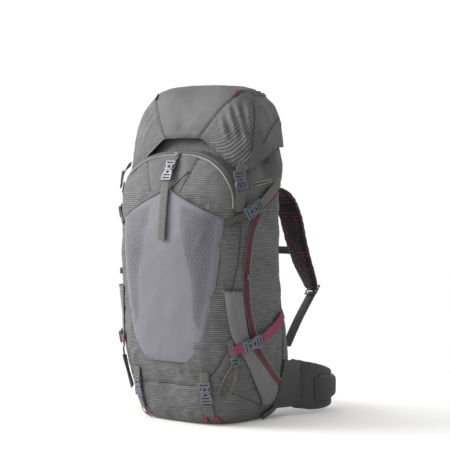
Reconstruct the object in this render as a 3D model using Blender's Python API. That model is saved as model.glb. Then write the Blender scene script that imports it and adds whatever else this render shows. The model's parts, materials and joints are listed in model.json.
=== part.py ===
"""A hiking backpack of about 50 litres that stands on its base.

Metres, +Z up. The origin is the middle of the flat base. The wearer looks along +Y, so the harness is at +Y,
the stretch pocket on the outside is at -Y, and the wearer's right is +X.
"""

import math

import bmesh
import bpy
from mathutils import Matrix, Vector

# Driving dimensions of the bag: one row for each height, with the half width, the front and the back there.
BODY_ROWS = (
    (0.000, 0.116, -0.056, 0.116),
    (0.022, 0.131, -0.069, 0.134),
    (0.070, 0.152, -0.079, 0.146),
    (0.150, 0.166, -0.090, 0.132),
    (0.250, 0.167, -0.093, 0.106),
    (0.350, 0.169, -0.094, 0.096),
    (0.450, 0.166, -0.085, 0.096),
    (0.490, 0.164, -0.077, 0.095),
    (0.520, 0.158, -0.064, 0.092),
    (0.545, 0.151, -0.047, 0.090),
    (0.565, 0.145, -0.034, 0.088),
    (0.600, 0.136, -0.022, 0.084),
    (0.640, 0.122, -0.004, 0.078),
)
LID_ROWS = (
    (0.500, 0.181, -0.062, 0.100),
    (0.520, 0.179, -0.060, 0.101),
    (0.550, 0.175, -0.053, 0.102),
    (0.578, 0.169, -0.044, 0.103),
    (0.600, 0.164, -0.037, 0.104),
    (0.640, 0.150, -0.022, 0.101),
    (0.662, 0.132, -0.010, 0.088),
    (0.676, 0.114, 0.002, 0.073),
    (0.684, 0.090, 0.014, 0.060),
)
WIDEST_SHARE = 0.62
FRONT_ROUNDNESS = 3.0
BACK_ROUNDNESS = 4.5

WALL = 0.003
GAP = 0.0005
BASE_HEIGHT = 0.030
BAG_TOP = 0.600
COLLAR_TOP = 0.634
LID_WALL = 0.003
LID_FLOOR_HEIGHT = 0.648
LID_HINGE = Vector((0.0, 0.108, 0.562))

# Lid edge height against the angle round from the front: highest over the front, lowest at the front corners.
LID_EDGE = ((0, 0.579), (26, 0.578), (45, 0.550), (60, 0.516), (66, 0.511), (78, 0.537), (95, 0.560),
            (180, 0.566))

WEBBING = 0.020
WEBBING_THICKNESS = 0.0016

# Linear colour, roughness and metallic value of each material.
COLOURS = {
    "ripstop": ((0.25, 0.25, 0.25), 0.75, 0.0),
    "plain_nylon": ((0.28, 0.28, 0.285), 0.7, 0.0),
    "dark_nylon": ((0.09, 0.09, 0.09), 0.7, 0.0),
    "stretch_mesh": ((0.34, 0.34, 0.37), 0.8, 0.0),
    "side_stretch": ((0.13, 0.13, 0.13), 0.8, 0.0),
    "webbing": ((0.2, 0.2, 0.18), 0.8, 0.0),
    "accent_webbing": ((0.22, 0.02, 0.09), 0.75, 0.0),
    "buckle_plastic": ((0.26, 0.28, 0.32), 0.35, 0.0),
    "zip_tape": ((0.38, 0.39, 0.35), 0.6, 0.0),
    "accent_zip": ((0.14, 0.02, 0.05), 0.6, 0.0),
    "spacer_mesh": ((0.012, 0.011, 0.012), 0.9, 0.0),
    "frame_steel": ((0.5, 0.5, 0.5), 0.35, 1.0),
    "frame_sheet": ((0.7, 0.7, 0.7), 0.5, 0.0),
}
SIDES = (("left", -1), ("right", 1))


def clear_scene():
    for obj in list(bpy.data.objects):
        bpy.data.objects.remove(obj, do_unlink=True)


def material(name):
    found = bpy.data.materials.get(name)
    if found:
        return found
    colour, roughness, metallic = COLOURS[name]
    made = bpy.data.materials.new(name)
    made.use_nodes = True
    shader = made.node_tree.nodes["Principled BSDF"]
    shader.inputs["Base Color"].default_value = (*colour, 1.0)
    shader.inputs["Roughness"].default_value = roughness
    shader.inputs["Metallic"].default_value = metallic
    made.diffuse_color = (*colour, 1.0)
    return made


def object_from(name, bm, slot, origin=(0, 0, 0)):
    """One named node from a bmesh in world coordinates, with its origin moved to a point of its own."""
    bmesh.ops.remove_doubles(bm, verts=bm.verts, dist=1e-6)
    bmesh.ops.recalc_face_normals(bm, faces=bm.faces)
    bmesh.ops.translate(bm, verts=bm.verts, vec=-Vector(origin))
    mesh = bpy.data.meshes.new(name)
    bm.to_mesh(mesh)
    bm.free()
    mesh.shade_smooth()
    mesh.set_sharp_from_angle(angle=math.radians(35))
    mesh.materials.append(material(slot))
    obj = bpy.data.objects.new(name, mesh)
    obj.location = origin
    bpy.context.scene.collection.objects.link(obj)
    return obj


def smooth_curve(keys, at):
    """Value at a place along (place, value) keys, on a cubic whose slopes never overshoot."""
    at = min(max(at, keys[0][0]), keys[-1][0])
    slopes = [(b[1] - a[1]) / (b[0] - a[0]) for a, b in zip(keys, keys[1:])]
    for i, ((x0, y0), (x1, y1)) in enumerate(zip(keys, keys[1:])):
        if at <= x1:
            before = slopes[i - 1] if i else slopes[i]
            after = slopes[i + 1] if i + 1 < len(slopes) else slopes[i]
            start = 0 if before * slopes[i] <= 0 else 2 * before * slopes[i] / (before + slopes[i])
            end = 0 if after * slopes[i] <= 0 else 2 * after * slopes[i] / (after + slopes[i])
            width = x1 - x0
            t = (at - x0) / width
            return (
                y0 * (1 + 2 * t) * (1 - t) ** 2
                + start * width * t * (1 - t) ** 2
                + y1 * t * t * (3 - 2 * t)
                + end * width * t * t * (t - 1)
            )
    return keys[-1][1]


def section(rows, height):
    """Half width, front, back and widest depth of the bag or the lid at a height."""
    half_width, front, back = [smooth_curve([(row[0], row[i]) for row in rows], height) for i in (1, 2, 3)]
    return half_width, front, back, front + WIDEST_SHARE * (back - front)


def skin_point(rows, angle, height, lift=0.0):
    """Point on the skin at an angle round from +X, a quarter turn being the back."""
    half_width, front, back, widest = section(rows, height)
    behind = math.sin(angle) > 0
    power = BACK_ROUNDNESS if behind else FRONT_ROUNDNESS
    a, b = half_width + lift, (back - widest if behind else widest - front) + lift
    radius = (abs(math.cos(angle) / a) ** power + abs(math.sin(angle) / b) ** power) ** (-1 / power)
    return Vector((radius * math.cos(angle), widest + radius * math.sin(angle), height))


def front_point(x, height, lift=0.0):
    """Point on the front skin, straight behind a place seen from the front."""
    half_width, front, _, widest = section(BODY_ROWS, height)
    share = min(1.0, abs(x) / (half_width + lift)) ** FRONT_ROUNDNESS
    return Vector((x, widest - (widest - front + lift) * (1 - share) ** (1 / FRONT_ROUNDNESS), height))


def side_point(y, height, lift=0.0):
    """Point on the right side's skin, at a depth and a height."""
    half_width, front, back, widest = section(BODY_ROWS, height)
    behind = y > widest
    power = BACK_ROUNDNESS if behind else FRONT_ROUNDNESS
    share = min(1.0, abs(y - widest) / ((back - widest if behind else widest - front) + lift)) ** power
    return Vector(((half_width + lift) * (1 - share) ** (1 / power), y, height))


def normal_of(place, u, v):
    """Outward normal of a skin function at (u, v), from its slopes."""
    step = 0.002
    across = place(u + step, v) - place(u - step, v)
    up = place(u, v + step) - place(u, v - step)
    return across.cross(up).normalized()


def mirrored(points, side):
    return [Vector((side * p.x, p.y, p.z)) for p in points]


def loft(name, rings, slot, joined=False, origin=(0, 0, 0)):
    """Closed skin over rings of equal length, with caps, or with its end rings joined to make a tube."""
    bm = bmesh.new()
    rows = [[bm.verts.new(p) for p in ring] for ring in rings]
    pairs = list(zip(rows, rows[1:]))
    if joined:
        pairs.append((rows[-1], rows[0]))
    for low, high in pairs:
        for i in range(len(low)):
            j = (i + 1) % len(low)
            bm.faces.new((low[i], low[j], high[j], high[i]))
    if not joined:
        bm.faces.new(rows[0])
        bm.faces.new(rows[-1])
    return object_from(name, bm, slot, origin)


def ring(rows, height, lift=0.0, count=48):
    """Points round the skin at one height, or at one height for each angle."""
    angles = [2 * math.pi * i / count for i in range(count)]
    return [skin_point(rows, a, height(a) if callable(height) else height, lift) for a in angles]


def patch(name, place, us, vs, inner, outer, slot, side=1):
    """A sewn sheet on the skin: a grid of places, given its thickness from the inner lift to the outer lift."""
    bm = bmesh.new()
    layers = []
    for lift in (inner, outer):
        grid = [[bm.verts.new(mirrored([place(u, v, lift(u, v))], side)[0]) for u in us] for v in vs]
        layers.append(grid)
    for grid in layers:
        for low, high in zip(grid, grid[1:]):
            for i in range(len(us) - 1):
                bm.faces.new((low[i], low[i + 1], high[i + 1], high[i]))
    low, high = layers
    rims = [
        (low[0], high[0]),
        (low[-1], high[-1]),
        ([row[0] for row in low], [row[0] for row in high]),
        ([row[-1] for row in low], [row[-1] for row in high]),
    ]
    for inside, outside in rims:
        for i in range(len(inside) - 1):
            bm.faces.new((inside[i], inside[i + 1], outside[i + 1], outside[i]))
    return object_from(name, bm, slot)


def along(points, count):
    """A smooth curve read at equal steps through route points, on a Catmull-Rom spline."""
    ends = [2 * points[0] - points[1], *points, 2 * points[-1] - points[-2]]
    fine = []
    steps = 16
    for p0, p1, p2, p3 in zip(ends, ends[1:], ends[2:], ends[3:]):
        for k in range(steps):
            t = k / steps
            fine.append(
                0.5 * (2 * p1 + (p2 - p0) * t + (2 * p0 - 5 * p1 + 4 * p2 - p3) * t * t
                       + (3 * p1 - p0 - 3 * p2 + p3) * t ** 3)
            )
    fine.append(points[-1])
    reach = [0.0]
    for a, b in zip(fine, fine[1:]):
        reach.append(reach[-1] + (b - a).length)
    found = []
    for n in range(count):
        target = reach[-1] * n / (count - 1)
        i = max(1, next(k for k, r in enumerate(reach) if r >= target - 1e-9))
        share = (target - reach[i - 1]) / (reach[i] - reach[i - 1])
        found.append(fine[i - 1].lerp(fine[i], share))
    return found


def strap(name, points, normals, width, thickness, slot, side=1, origin=(0, 0, 0), round_ends=False):
    """A flat strap, foam or web along points, its flat face turned to the normals."""
    rings = []
    last = len(points) - 1
    for i, (point, normal) in enumerate(zip(points, normals)):
        tangent = (points[min(i + 1, last)] - points[max(i - 1, 0)]).normalized()
        across = tangent.cross(normal).normalized()
        up = across.cross(tangent).normalized()
        half = (width[i] if isinstance(width, list) else width) / 2
        if round_ends and i in (0, last):
            half *= 0.6
        low, high = -thickness / 2, thickness / 2
        corners = [(-half, low), (half, low), (half, high), (-half, high)]
        rings.append(mirrored([point + across * a + up * b for a, b in corners], side))
    return loft(name, rings, slot, origin=origin)


def cord_tube(name, points, radius, slot):
    """A round cord, coil or wire along points, with closed ends."""
    curve = bpy.data.curves.new(name, "CURVE")
    curve.dimensions = "3D"
    curve.bevel_depth = radius
    curve.bevel_resolution = 2
    curve.use_fill_caps = True
    curve.materials.append(material(slot))
    spline = curve.splines.new("POLY")
    spline.points.add(len(points) - 1)
    for knot, point in zip(spline.points, points):
        knot.co = (*point, 1.0)
    obj = bpy.data.objects.new(name, curve)
    bpy.context.scene.collection.objects.link(obj)
    return obj


def plate(name, outline, holes, thickness, frame, slot):
    """A flat plastic piece: an outline with holes, given a thickness about its middle plane."""
    bm = bmesh.new()
    for loop in (outline, *holes):
        verts = [bm.verts.new((u, v, -thickness / 2)) for u, v in loop]
        for a, b in zip(verts, [*verts[1:], verts[0]]):
            bm.edges.new((a, b))
    bmesh.ops.triangle_fill(bm, edges=bm.edges[:], use_beauty=True)
    made = bmesh.ops.extrude_face_region(bm, geom=bm.faces[:])["geom"]
    bmesh.ops.translate(bm, verts=[g for g in made if isinstance(g, bmesh.types.BMVert)], vec=(0, 0, thickness))
    bmesh.ops.transform(bm, matrix=frame, verts=bm.verts)
    return object_from(name, bm, slot, frame.translation)


def frame_at(origin, along_u, normal, side=1):
    """A frame with its first axis along the buckle and its third out of the skin."""
    u = along_u.normalized()
    n = (normal - normal.dot(u) * u).normalized()
    matrix = Matrix((u, n.cross(u), n)).transposed().to_4x4()
    matrix.translation = origin
    return Matrix.Diagonal((side, 1, 1, 1)) @ matrix


def rectangle(u0, u1, half):
    return [(u0, -half), (u1, -half), (u1, half), (u0, half)]


# Side release buckles. Lengths run along the strap from the middle of the socket; the clip leaves towards +u.
BUCKLE_HALF_WIDTH = 0.014
BUCKLE_REACH = 0.013
SOCKET_THICKNESS = 0.0070
CLIP_THICKNESS = 0.0046
CLIP_END = 0.029


def buckle_socket(name, frame, scale=1.0, thickness=SOCKET_THICKNESS):
    """The receiving half: a bar with a slot for its web, and two rails that hold the clip's prongs."""
    w, r = BUCKLE_HALF_WIDTH * scale, BUCKLE_REACH * scale
    rail = 0.0095 * scale
    heel = -0.003 * scale
    outline = [(-r, -w), (r, -w), (r, -rail), (heel, -rail), (heel, rail), (r, rail), (r, w), (-r, w)]
    slot_hole = rectangle(-0.010 * scale, -0.006 * scale, 0.0105 * scale)
    return plate(name, outline, [slot_hole], thickness * scale, frame, "buckle_plastic")


def buckle_clip(name, frame, scale=1.0):
    """The clip: a guide tongue between two sprung prongs, on a body with two slots for its web."""
    s = scale
    tongue, prong_in, prong_out = 0.0022 * s, 0.0052 * s, 0.0088 * s
    tip, root, shoulder, end, w = -0.0022 * s, 0.012 * s, 0.0145 * s, CLIP_END * s, 0.013 * s
    half = [(tip, tongue), (root, tongue), (root, prong_in), (tip, prong_in), (tip, prong_out - 0.002 * s),
            (0.002 * s, prong_out), (shoulder, prong_out), (shoulder, w), (end, w)]
    outline = [(u, v) for u, v in half] + [(u, -v) for u, v in reversed(half)]
    holes = [rectangle(a * s, b * s, 0.0105 * s) for a, b in ((0.0175, 0.0200), (0.0235, 0.0260))]
    return plate(name, outline, holes, CLIP_THICKNESS * s, frame, "buckle_plastic")


# The bag: a base tray, a tube of cloth above it and the drawcord collar inside the lid.

def make_base_panel():
    heights = (0.0, 0.006, 0.014, BASE_HEIGHT)
    outer = [ring(BODY_ROWS, h) for h in heights]
    inner = [ring(BODY_ROWS, max(h, WALL), -WALL) for h in reversed(heights)]
    loft("base_panel", outer + inner, "dark_nylon")


def make_packbag():
    heights = (BASE_HEIGHT + GAP, 0.070, 0.110, 0.160, 0.220, 0.290, 0.360, 0.430, 0.480, 0.515, 0.540, 0.565,
               0.585, BAG_TOP)
    outer = [ring(BODY_ROWS, h) for h in heights]
    inner = [ring(BODY_ROWS, h, -WALL) for h in reversed(heights)]
    loft("packbag", outer + inner, "ripstop", joined=True)


def make_snow_collar():
    heights = (BAG_TOP + GAP, 0.618, COLLAR_TOP)
    outer = [ring(BODY_ROWS, h, -0.001) for h in heights]
    inner = [ring(BODY_ROWS, h, -0.003) for h in reversed(heights)]
    loft("snow_collar", outer + inner, "plain_nylon", joined=True)


# Pockets are stretch cloth sewn down on three edges and open at the top.

POCKET_BOTTOM, POCKET_CORNER, POCKET_PEAK = 0.126, 0.415, 0.476
POCKET_WIDTHS = ((0.126, 0.046), (0.136, 0.063), (0.153, 0.077), (0.175, 0.091), (0.200, 0.098), (0.286, 0.117),
                 (0.363, 0.127), (0.415, 0.131))
POCKET_STAND_OFF = 0.0085


def front_pocket_point(u, v, lift):
    """u runs across from -1 to 1 and v up from 0 to 1; the top edge rises to a peak in the middle."""
    middle = smooth_curve([(0, POCKET_BOTTOM), (1, POCKET_CORNER)], v)
    half_width = smooth_curve(POCKET_WIDTHS, middle)
    rise = (POCKET_PEAK - POCKET_CORNER) * (1 - abs(u)) * v ** 2
    return front_point(u * half_width, middle + rise, lift)


def make_front_pocket():
    us = [i / 10 - 1 for i in range(21)]
    vs = [i / 12 for i in range(13)]

    def inside(u, v):
        return 0.001 + POCKET_STAND_OFF * v * (1 - u ** 4)

    patch("front_pocket", front_pocket_point, us, vs, inside, lambda u, v: inside(u, v) + 0.002, "stretch_mesh")


# The side pocket's front and rear edges, and the side zip that follows its rear edge, as depth against height.
SIDE_POCKET_FRONT = ((0.034, 0.050), (0.077, 0.009), (0.105, -0.012), (0.143, -0.037), (0.175, -0.056),
                     (0.220, -0.066), (0.272, -0.072))
SIDE_POCKET_REAR = ((0.034, 0.096), (0.072, 0.080), (0.102, 0.040), (0.140, -0.003), (0.160, -0.018),
                    (0.200, -0.032), (0.272, -0.045))
SIDE_ZIP = ((0.072, 0.092), (0.102, 0.052), (0.140, 0.009), (0.160, -0.006), (0.200, -0.020), (0.251, -0.032),
            (0.302, -0.036), (0.376, -0.028), (0.427, -0.003), (0.472, 0.064))


def side_pocket_point(u, v, lift):
    """u runs back from the front edge to the rear edge, from 0 to 1, and v up from 0 to 1."""
    height = SIDE_POCKET_FRONT[0][0] + v * (SIDE_POCKET_FRONT[-1][0] - SIDE_POCKET_FRONT[0][0])
    front = smooth_curve(SIDE_POCKET_FRONT, height)
    rear = smooth_curve(SIDE_POCKET_REAR, height)
    return side_point(front + u * (rear - front), height, lift)


def make_side_pockets():
    us = [i / 6 for i in range(7)]
    vs = [i / 12 for i in range(13)]

    def inside(u, v):
        return 0.001 + 0.009 * v * (4 * u * (1 - u)) ** 0.5

    for label, side in SIDES:
        patch(f"side_pocket_{label}", side_pocket_point, us, vs, inside,
              lambda u, v: inside(u, v) + 0.0018, "side_stretch", side)


# Zips lie just clear of the cloth. The front zip is an arch; each side zip is a long curve.

ZIP_RADIUS = 0.0022
ZIP_LIFT = 0.0034
ARCH_HALF_WIDTH, ARCH_FOOT, ARCH_RISE = 0.144, 0.435, 0.109
ARCH_ROUNDNESS = 2.4


def arch_point(angle, lift):
    power = ARCH_ROUNDNESS
    reach = (abs(math.cos(angle)) ** power + math.sin(angle) ** power) ** (-1 / power)
    x = ARCH_HALF_WIDTH * reach * math.cos(angle)
    return front_point(x, ARCH_FOOT + ARCH_RISE * reach * math.sin(angle), lift)


def make_front_zip():
    points = [arch_point(math.pi * i / 48, ZIP_LIFT) for i in range(1, 48)]
    cord_tube("front_zip", points, ZIP_RADIUS, "zip_tape")


def side_zip_points(lift, count):
    heights = [SIDE_ZIP[0][0] + (SIDE_ZIP[-1][0] - SIDE_ZIP[0][0]) * i / 80 for i in range(81)]
    return along([side_point(smooth_curve(SIDE_ZIP, h), h, lift) for h in heights], count)


def make_side_zips():
    for label, side in SIDES:
        cord_tube(f"side_zip_{label}", mirrored(side_zip_points(ZIP_LIFT, 40), side), ZIP_RADIUS, "accent_zip")


SLIDER_LIFT = 0.0105
SIDE_SLIDER_HEIGHT = 0.300


def zip_slider(name, frame):
    """The slider's body, with the eye that its pull hangs from."""
    half = [(-0.006, 0.003), (-0.002, 0.0045), (0.005, 0.0045), (0.007, 0.002)]
    outline = half + [(u, -v) for u, v in reversed(half)]
    plate(name, outline, [rectangle(-0.0045, -0.0028, 0.0014)], 0.005, frame, "buckle_plastic")


def make_body_sliders():
    crown = arch_point(math.pi / 2, SLIDER_LIFT)
    zip_slider("front_zip_slider", frame_at(crown, Vector((1, 0, 0)), normal_of(front_point, crown.x, crown.z)))
    y = smooth_curve(SIDE_ZIP, SIDE_SLIDER_HEIGHT)
    centre = side_point(y, SIDE_SLIDER_HEIGHT, SLIDER_LIFT)
    normal = normal_of(side_point, y, SIDE_SLIDER_HEIGHT)
    for label, side in SIDES:
        zip_slider(f"side_zip_slider_{label}", frame_at(centre, Vector((0, 0, 1)), normal, side))


# The lid: a domed cover with a floor of cloth that makes its pocket, and a zip round the back.

def lid_edge_height(angle):
    turn = abs((math.degrees(angle) + 90 + 180) % 360 - 180)
    return smooth_curve(LID_EDGE, turn)


def skirt(share):
    """Heights a share of the way from the lid's edge up to the level where its rings become flat."""
    return lambda angle: lid_edge_height(angle) + share * (0.604 - lid_edge_height(angle))


def make_lid():
    levels = [skirt(s) for s in (0, 0.35, 0.7, 1)] + [0.624, 0.641, 0.654, 0.665, 0.674, 0.680, 0.684]
    outer = [ring(LID_ROWS, h) for h in levels]
    inner = [ring(LID_ROWS, h, -LID_WALL) for h in reversed(levels[:-1])]
    crown = [Vector((p.x * 0.5, 0.037 + (p.y - 0.037) * 0.5, 0.688)) for p in outer[-1]]
    loft("lid_cover", inner + outer + [crown], "plain_nylon", origin=LID_HINGE)
    floor = [ring(LID_ROWS, h, -LID_WALL - 0.002) for h in (LID_FLOOR_HEIGHT, LID_FLOOR_HEIGHT + 0.0015)]
    loft("lid_floor", floor, "plain_nylon", origin=LID_HINGE)


LID_ZIP_HEIGHT = 0.664


def lid_zip_point(angle, lift):
    return skin_point(LID_ROWS, angle, LID_ZIP_HEIGHT, lift)


def make_lid_zip():
    points = [lid_zip_point(math.radians(a), ZIP_LIFT + 0.001) for a in range(-6, 187, 6)]
    cord_tube("lid_zip", points, ZIP_RADIUS, "zip_tape")
    centre = lid_zip_point(math.radians(27), SLIDER_LIFT + 0.002)
    zip_slider("lid_zip_slider", frame_at(centre, Vector((1, 0, 0)), Vector((0, 0.8, 0.6))))


# Buckles on the cloth. Each is a place, a direction for its clip to leave in, and the web behind its clip.

BUCKLE_LIFT = 0.0058
LID_BUCKLE = (-0.041, 0.480)
UPPER_BUCKLE = (-0.028, 0.430)
UPPER_WEB = ((0.004, 0.449), (0.030, 0.466), (0.056, 0.482), (0.078, 0.496))
LOWER_BUCKLE = (-0.029, 0.166)
LOWER_WEB = ((0.000, 0.177), (0.024, 0.187), (0.050, 0.199), (0.078, 0.220))
BASE_BUCKLE = (0.087, 0.077)
BASE_WEB = (0.046, 0.038, 0.030, 0.022)
POCKET_BUCKLE_HEIGHT = 0.513
POCKET_WEB_BOTTOM = 0.372


def surface_frame(place, u, v, direction, side=1, lift=BUCKLE_LIFT):
    """Frame for a buckle on a skin function at (u, v), its axis along a direction in the skin's (u, v)."""
    centre = place(u, v, lift)
    ahead = place(u + direction[0] * 0.004, v + direction[1] * 0.004, lift)
    return frame_at(centre, ahead - centre, normal_of(place, u, v), side)


def web_on_skin(name, place, route, slot, side=1, lifts=(0.0036, 0.0036), count=10):
    """Webbing that leaves a clip at the first lift and comes down to the second where it's sewn in."""
    start, end = lifts
    places = along([Vector((u, v, 0)) for u, v in route], count)
    points = [place(p.x, p.y, start + (end - start) * (i / (count - 1)) ** 3) for i, p in enumerate(places)]
    normals = [normal_of(place, p.x, p.y) for p in places]
    return strap(name, points, normals, WEBBING, WEBBING_THICKNESS, slot, side)


def make_side_buckles():
    kinds = (("upper", UPPER_BUCKLE, UPPER_WEB, "webbing", 0.0098),
             ("lower", LOWER_BUCKLE, LOWER_WEB, "accent_webbing", 0.0125))
    for kind, (y, z), web, slot, lift in kinds:
        direction = Vector((web[0][0] - y, web[0][1] - z)).normalized()
        for label, side in SIDES:
            frame = surface_frame(side_point, y, z, direction, side, lift)
            buckle_socket(f"{kind}_side_buckle_{label}", frame)
            buckle_clip(f"{kind}_side_clip_{label}", frame)
            start = (y + direction.x * (CLIP_END + 0.001), z + direction.y * (CLIP_END + 0.001))
            name = f"{kind}_side_webbing_{label}"
            web_on_skin(name, side_point, (start, *web[1:]), slot, side, (lift, 0.0045))


def make_base_buckles():
    x, z = BASE_BUCKLE
    for label, side in SIDES:
        frame = surface_frame(front_point, x, z, (0, -1), side)
        buckle_socket(f"base_buckle_{label}", frame)
        buckle_clip(f"base_clip_{label}", frame)
        route = [(x, h) for h in BASE_WEB]
        web_on_skin(f"base_webbing_{label}", front_point, route, "webbing", side, count=6)


def make_pocket_buckle():
    frame = surface_frame(front_point, 0.0, POCKET_BUCKLE_HEIGHT, (0, -1), lift=0.0125)
    buckle_socket("pocket_buckle", frame)
    buckle_clip("pocket_clip", frame)
    top = POCKET_BUCKLE_HEIGHT - CLIP_END * 0.94 - 0.002
    heights = [top - (top - POCKET_WEB_BOTTOM) * i / 9 for i in range(10)]
    points = [front_point(0.0, h, 0.014) for h in heights]
    normals = [normal_of(front_point, 0.0, h) for h in heights]
    strap("pocket_webbing", points, normals, WEBBING, WEBBING_THICKNESS, "webbing")


def make_lid_buckles():
    """The lid's clips lie over open-fronted sockets, so that they come away with the lid as it swings up."""
    y, z = LID_BUCKLE
    for label, side in SIDES:
        under = surface_frame(side_point, y, z, (0, 1), side, 0.0068)
        over = surface_frame(side_point, y, z, (0, 1), side, 0.0122)
        buckle_socket(f"lid_buckle_{label}", under, thickness=0.003)
        buckle_clip(f"lid_clip_{label}", over)


# The harness: a frame inside the bag, pads outside it, shoulder straps and a hip belt.

def back_depth(height):
    return section(BODY_ROWS, height)[2]


def make_frame():
    heights = [0.050, 0.090, 0.140, 0.200, 0.270, 0.340, 0.410, 0.470, 0.520]
    points = [Vector((0, back_depth(h) - 0.0115, h)) for h in heights]
    normals = [Vector((0, 1, 0))] * len(points)
    strap("frame_sheet", points, normals, 0.200, 0.0016, "frame_sheet", round_ends=True)
    half_width, top, corner, foot = 0.092, 0.525, 0.050, 0.040
    rise = [foot + (top - corner - foot) * i / 8 for i in range(9)]
    bend = [math.radians(90 * i / 6) for i in range(1, 7)]
    right = [(half_width, h) for h in rise]
    right += [(half_width - corner + corner * math.cos(a), top - corner + corner * math.sin(a)) for a in bend]
    outline = right + [(-x, h) for x, h in reversed(right)]
    cord_tube("wire_frame", [Vector((x, back_depth(h) - 0.0165, h)) for x, h in outline], 0.0023, "frame_steel")


def make_pads():
    heights = [0.185, 0.230, 0.290, 0.350, 0.410, 0.455]
    points = [Vector((0, back_depth(h) + 0.0085, h)) for h in heights]
    widths = [0.190, 0.210, 0.214, 0.206, 0.186, 0.150]
    strap("back_panel", points, [Vector((0, 1, 0))] * len(points), widths, 0.014, "spacer_mesh")
    heights = [0.060, 0.090, 0.120, 0.150, 0.172]
    points = [Vector((0, back_depth(h) + 0.0135, h)) for h in heights]
    widths = [0.150, 0.196, 0.206, 0.190, 0.150]
    strap("lumbar_pad", points, [Vector((0, 1, 0))] * len(points), widths, 0.022, "spacer_mesh")


def make_haul_loop():
    reach = [Vector((0.032 * math.cos(a), 0.1005 + 0.026 * math.sin(a), 0.500 + 0.012 * math.sin(a)))
             for a in [math.pi * i / 12 for i in range(13)]]
    middle = Vector((0, 0.1005, 0.500))
    normals = [(p - middle).normalized() for p in reach]
    strap("haul_loop", reach, normals, 0.018, 0.0024, "webbing", origin=(0, 0.1005, 0.500))


STRAP_PIVOT = Vector((0.0, 0.108, 0.468))
STRAP_ROUTE = ((0.064, 0.112, 0.468), (0.068, 0.152, 0.474), (0.078, 0.194, 0.459), (0.090, 0.212, 0.420),
               (0.102, 0.216, 0.370), (0.112, 0.226, 0.320), (0.120, 0.241, 0.279), (0.120, 0.2525, 0.2580))
STRAP_TURN = math.radians(28)
STRAP_WIDTH, STRAP_THICKNESS = 0.060, 0.014


def strap_normals(points):
    """The pad's outer face: it follows the route, and turns in towards the chest lower down."""
    found = []
    last = len(points) - 1
    for i in range(len(points)):
        tangent = (points[min(i + 1, last)] - points[max(i - 1, 0)]).normalized()
        turn = STRAP_TURN * (i / last) ** 2
        across = Vector((math.cos(turn), -math.sin(turn), 0))
        found.append(across.cross(tangent).normalized() * -1)
    return found


def make_shoulder_straps():
    points = along([Vector(p) for p in STRAP_ROUTE], 18)
    normals = strap_normals(points)
    narrow_top = [0.72 + 0.28 * min(1, i / 4) for i in range(18)]
    narrow_foot = [1 - 0.42 * max(0, (i - 14) / 3) ** 1.5 for i in range(18)]
    widths = [STRAP_WIDTH * top * low for top, low in zip(narrow_top, narrow_foot)]
    foot = Vector((0.119, 0.257, 0.252))
    anchor = Vector((0.138, 0.132, 0.147))
    web = along([foot, foot.lerp(anchor, 0.5) + Vector((0, -0.004, 0)), anchor], 8)
    lifter_route = ((0.070, 0.156, 0.488), (0.066, 0.128, 0.514), (0.062, 0.098, 0.542))
    lifter = along([Vector(p) for p in lifter_route], 6)
    for label, side in SIDES:
        pivot = (side * 0.064, STRAP_PIVOT.y, STRAP_PIVOT.z)
        strap(f"shoulder_strap_{label}", points, normals, widths, STRAP_THICKNESS, "spacer_mesh", side, pivot)
        strap(f"shoulder_webbing_{label}", web, [Vector((0, 0.62, -0.78))] * 8, 0.022, 0.0016, "webbing", side)
        strap(f"load_lifter_{label}", lifter, [Vector((0, 1, 1))] * 6, 0.015, 0.0016, "webbing", side)


STERNUM_HEIGHT = 0.340
STERNUM_Y = 0.2410


def make_sternum_straps():
    """Each half is a web that hangs from its shoulder strap, with half of a small buckle at its end."""
    scale = 0.75
    inner_end = 0.0715
    frame = frame_at(Vector((-0.004, STERNUM_Y, STERNUM_HEIGHT)), Vector((1, 0, 0)), Vector((0, 1, 0)))
    socket = buckle_socket("sternum_strap_left", frame, scale)
    clip = buckle_clip("sternum_strap_right", frame, scale)
    for obj, start, end in ((socket, -0.012, -inner_end), (clip, 0.0165, inner_end)):
        points = [Vector((x, STERNUM_Y, STERNUM_HEIGHT)) for x in (start, end)]
        web = strap("web", points, [Vector((0, 1, 0))] * 2, 0.016, 0.0018, "webbing")
        web.hide_render = True
        web.display_type = "WIRE"
        joined = obj.modifiers.new("web", "BOOLEAN")
        joined.operation = "UNION"
        joined.solver = "EXACT"
        joined.object = web


HIP_PIVOT = Vector((0.132, 0.156, 0.0))
HIP_ROUTE = ((0.132, 0.158), (0.148, 0.184), (0.158, 0.220), (0.154, 0.258), (0.135, 0.290), (0.102, 0.308))
HIP_ROWS = ((0.0, 0.014, 0.120), (0.35, 0.006, 0.106), (0.75, 0.006, 0.086), (1.0, 0.024, 0.074))


def hip_centre_line(count):
    return along([Vector((x, y, 0)) for x, y in HIP_ROUTE], count)


def hip_outward(points, i):
    last = len(points) - 1
    tangent = (points[min(i + 1, last)] - points[max(i - 1, 0)]).normalized()
    return Vector((tangent.y, -tangent.x, 0))


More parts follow.
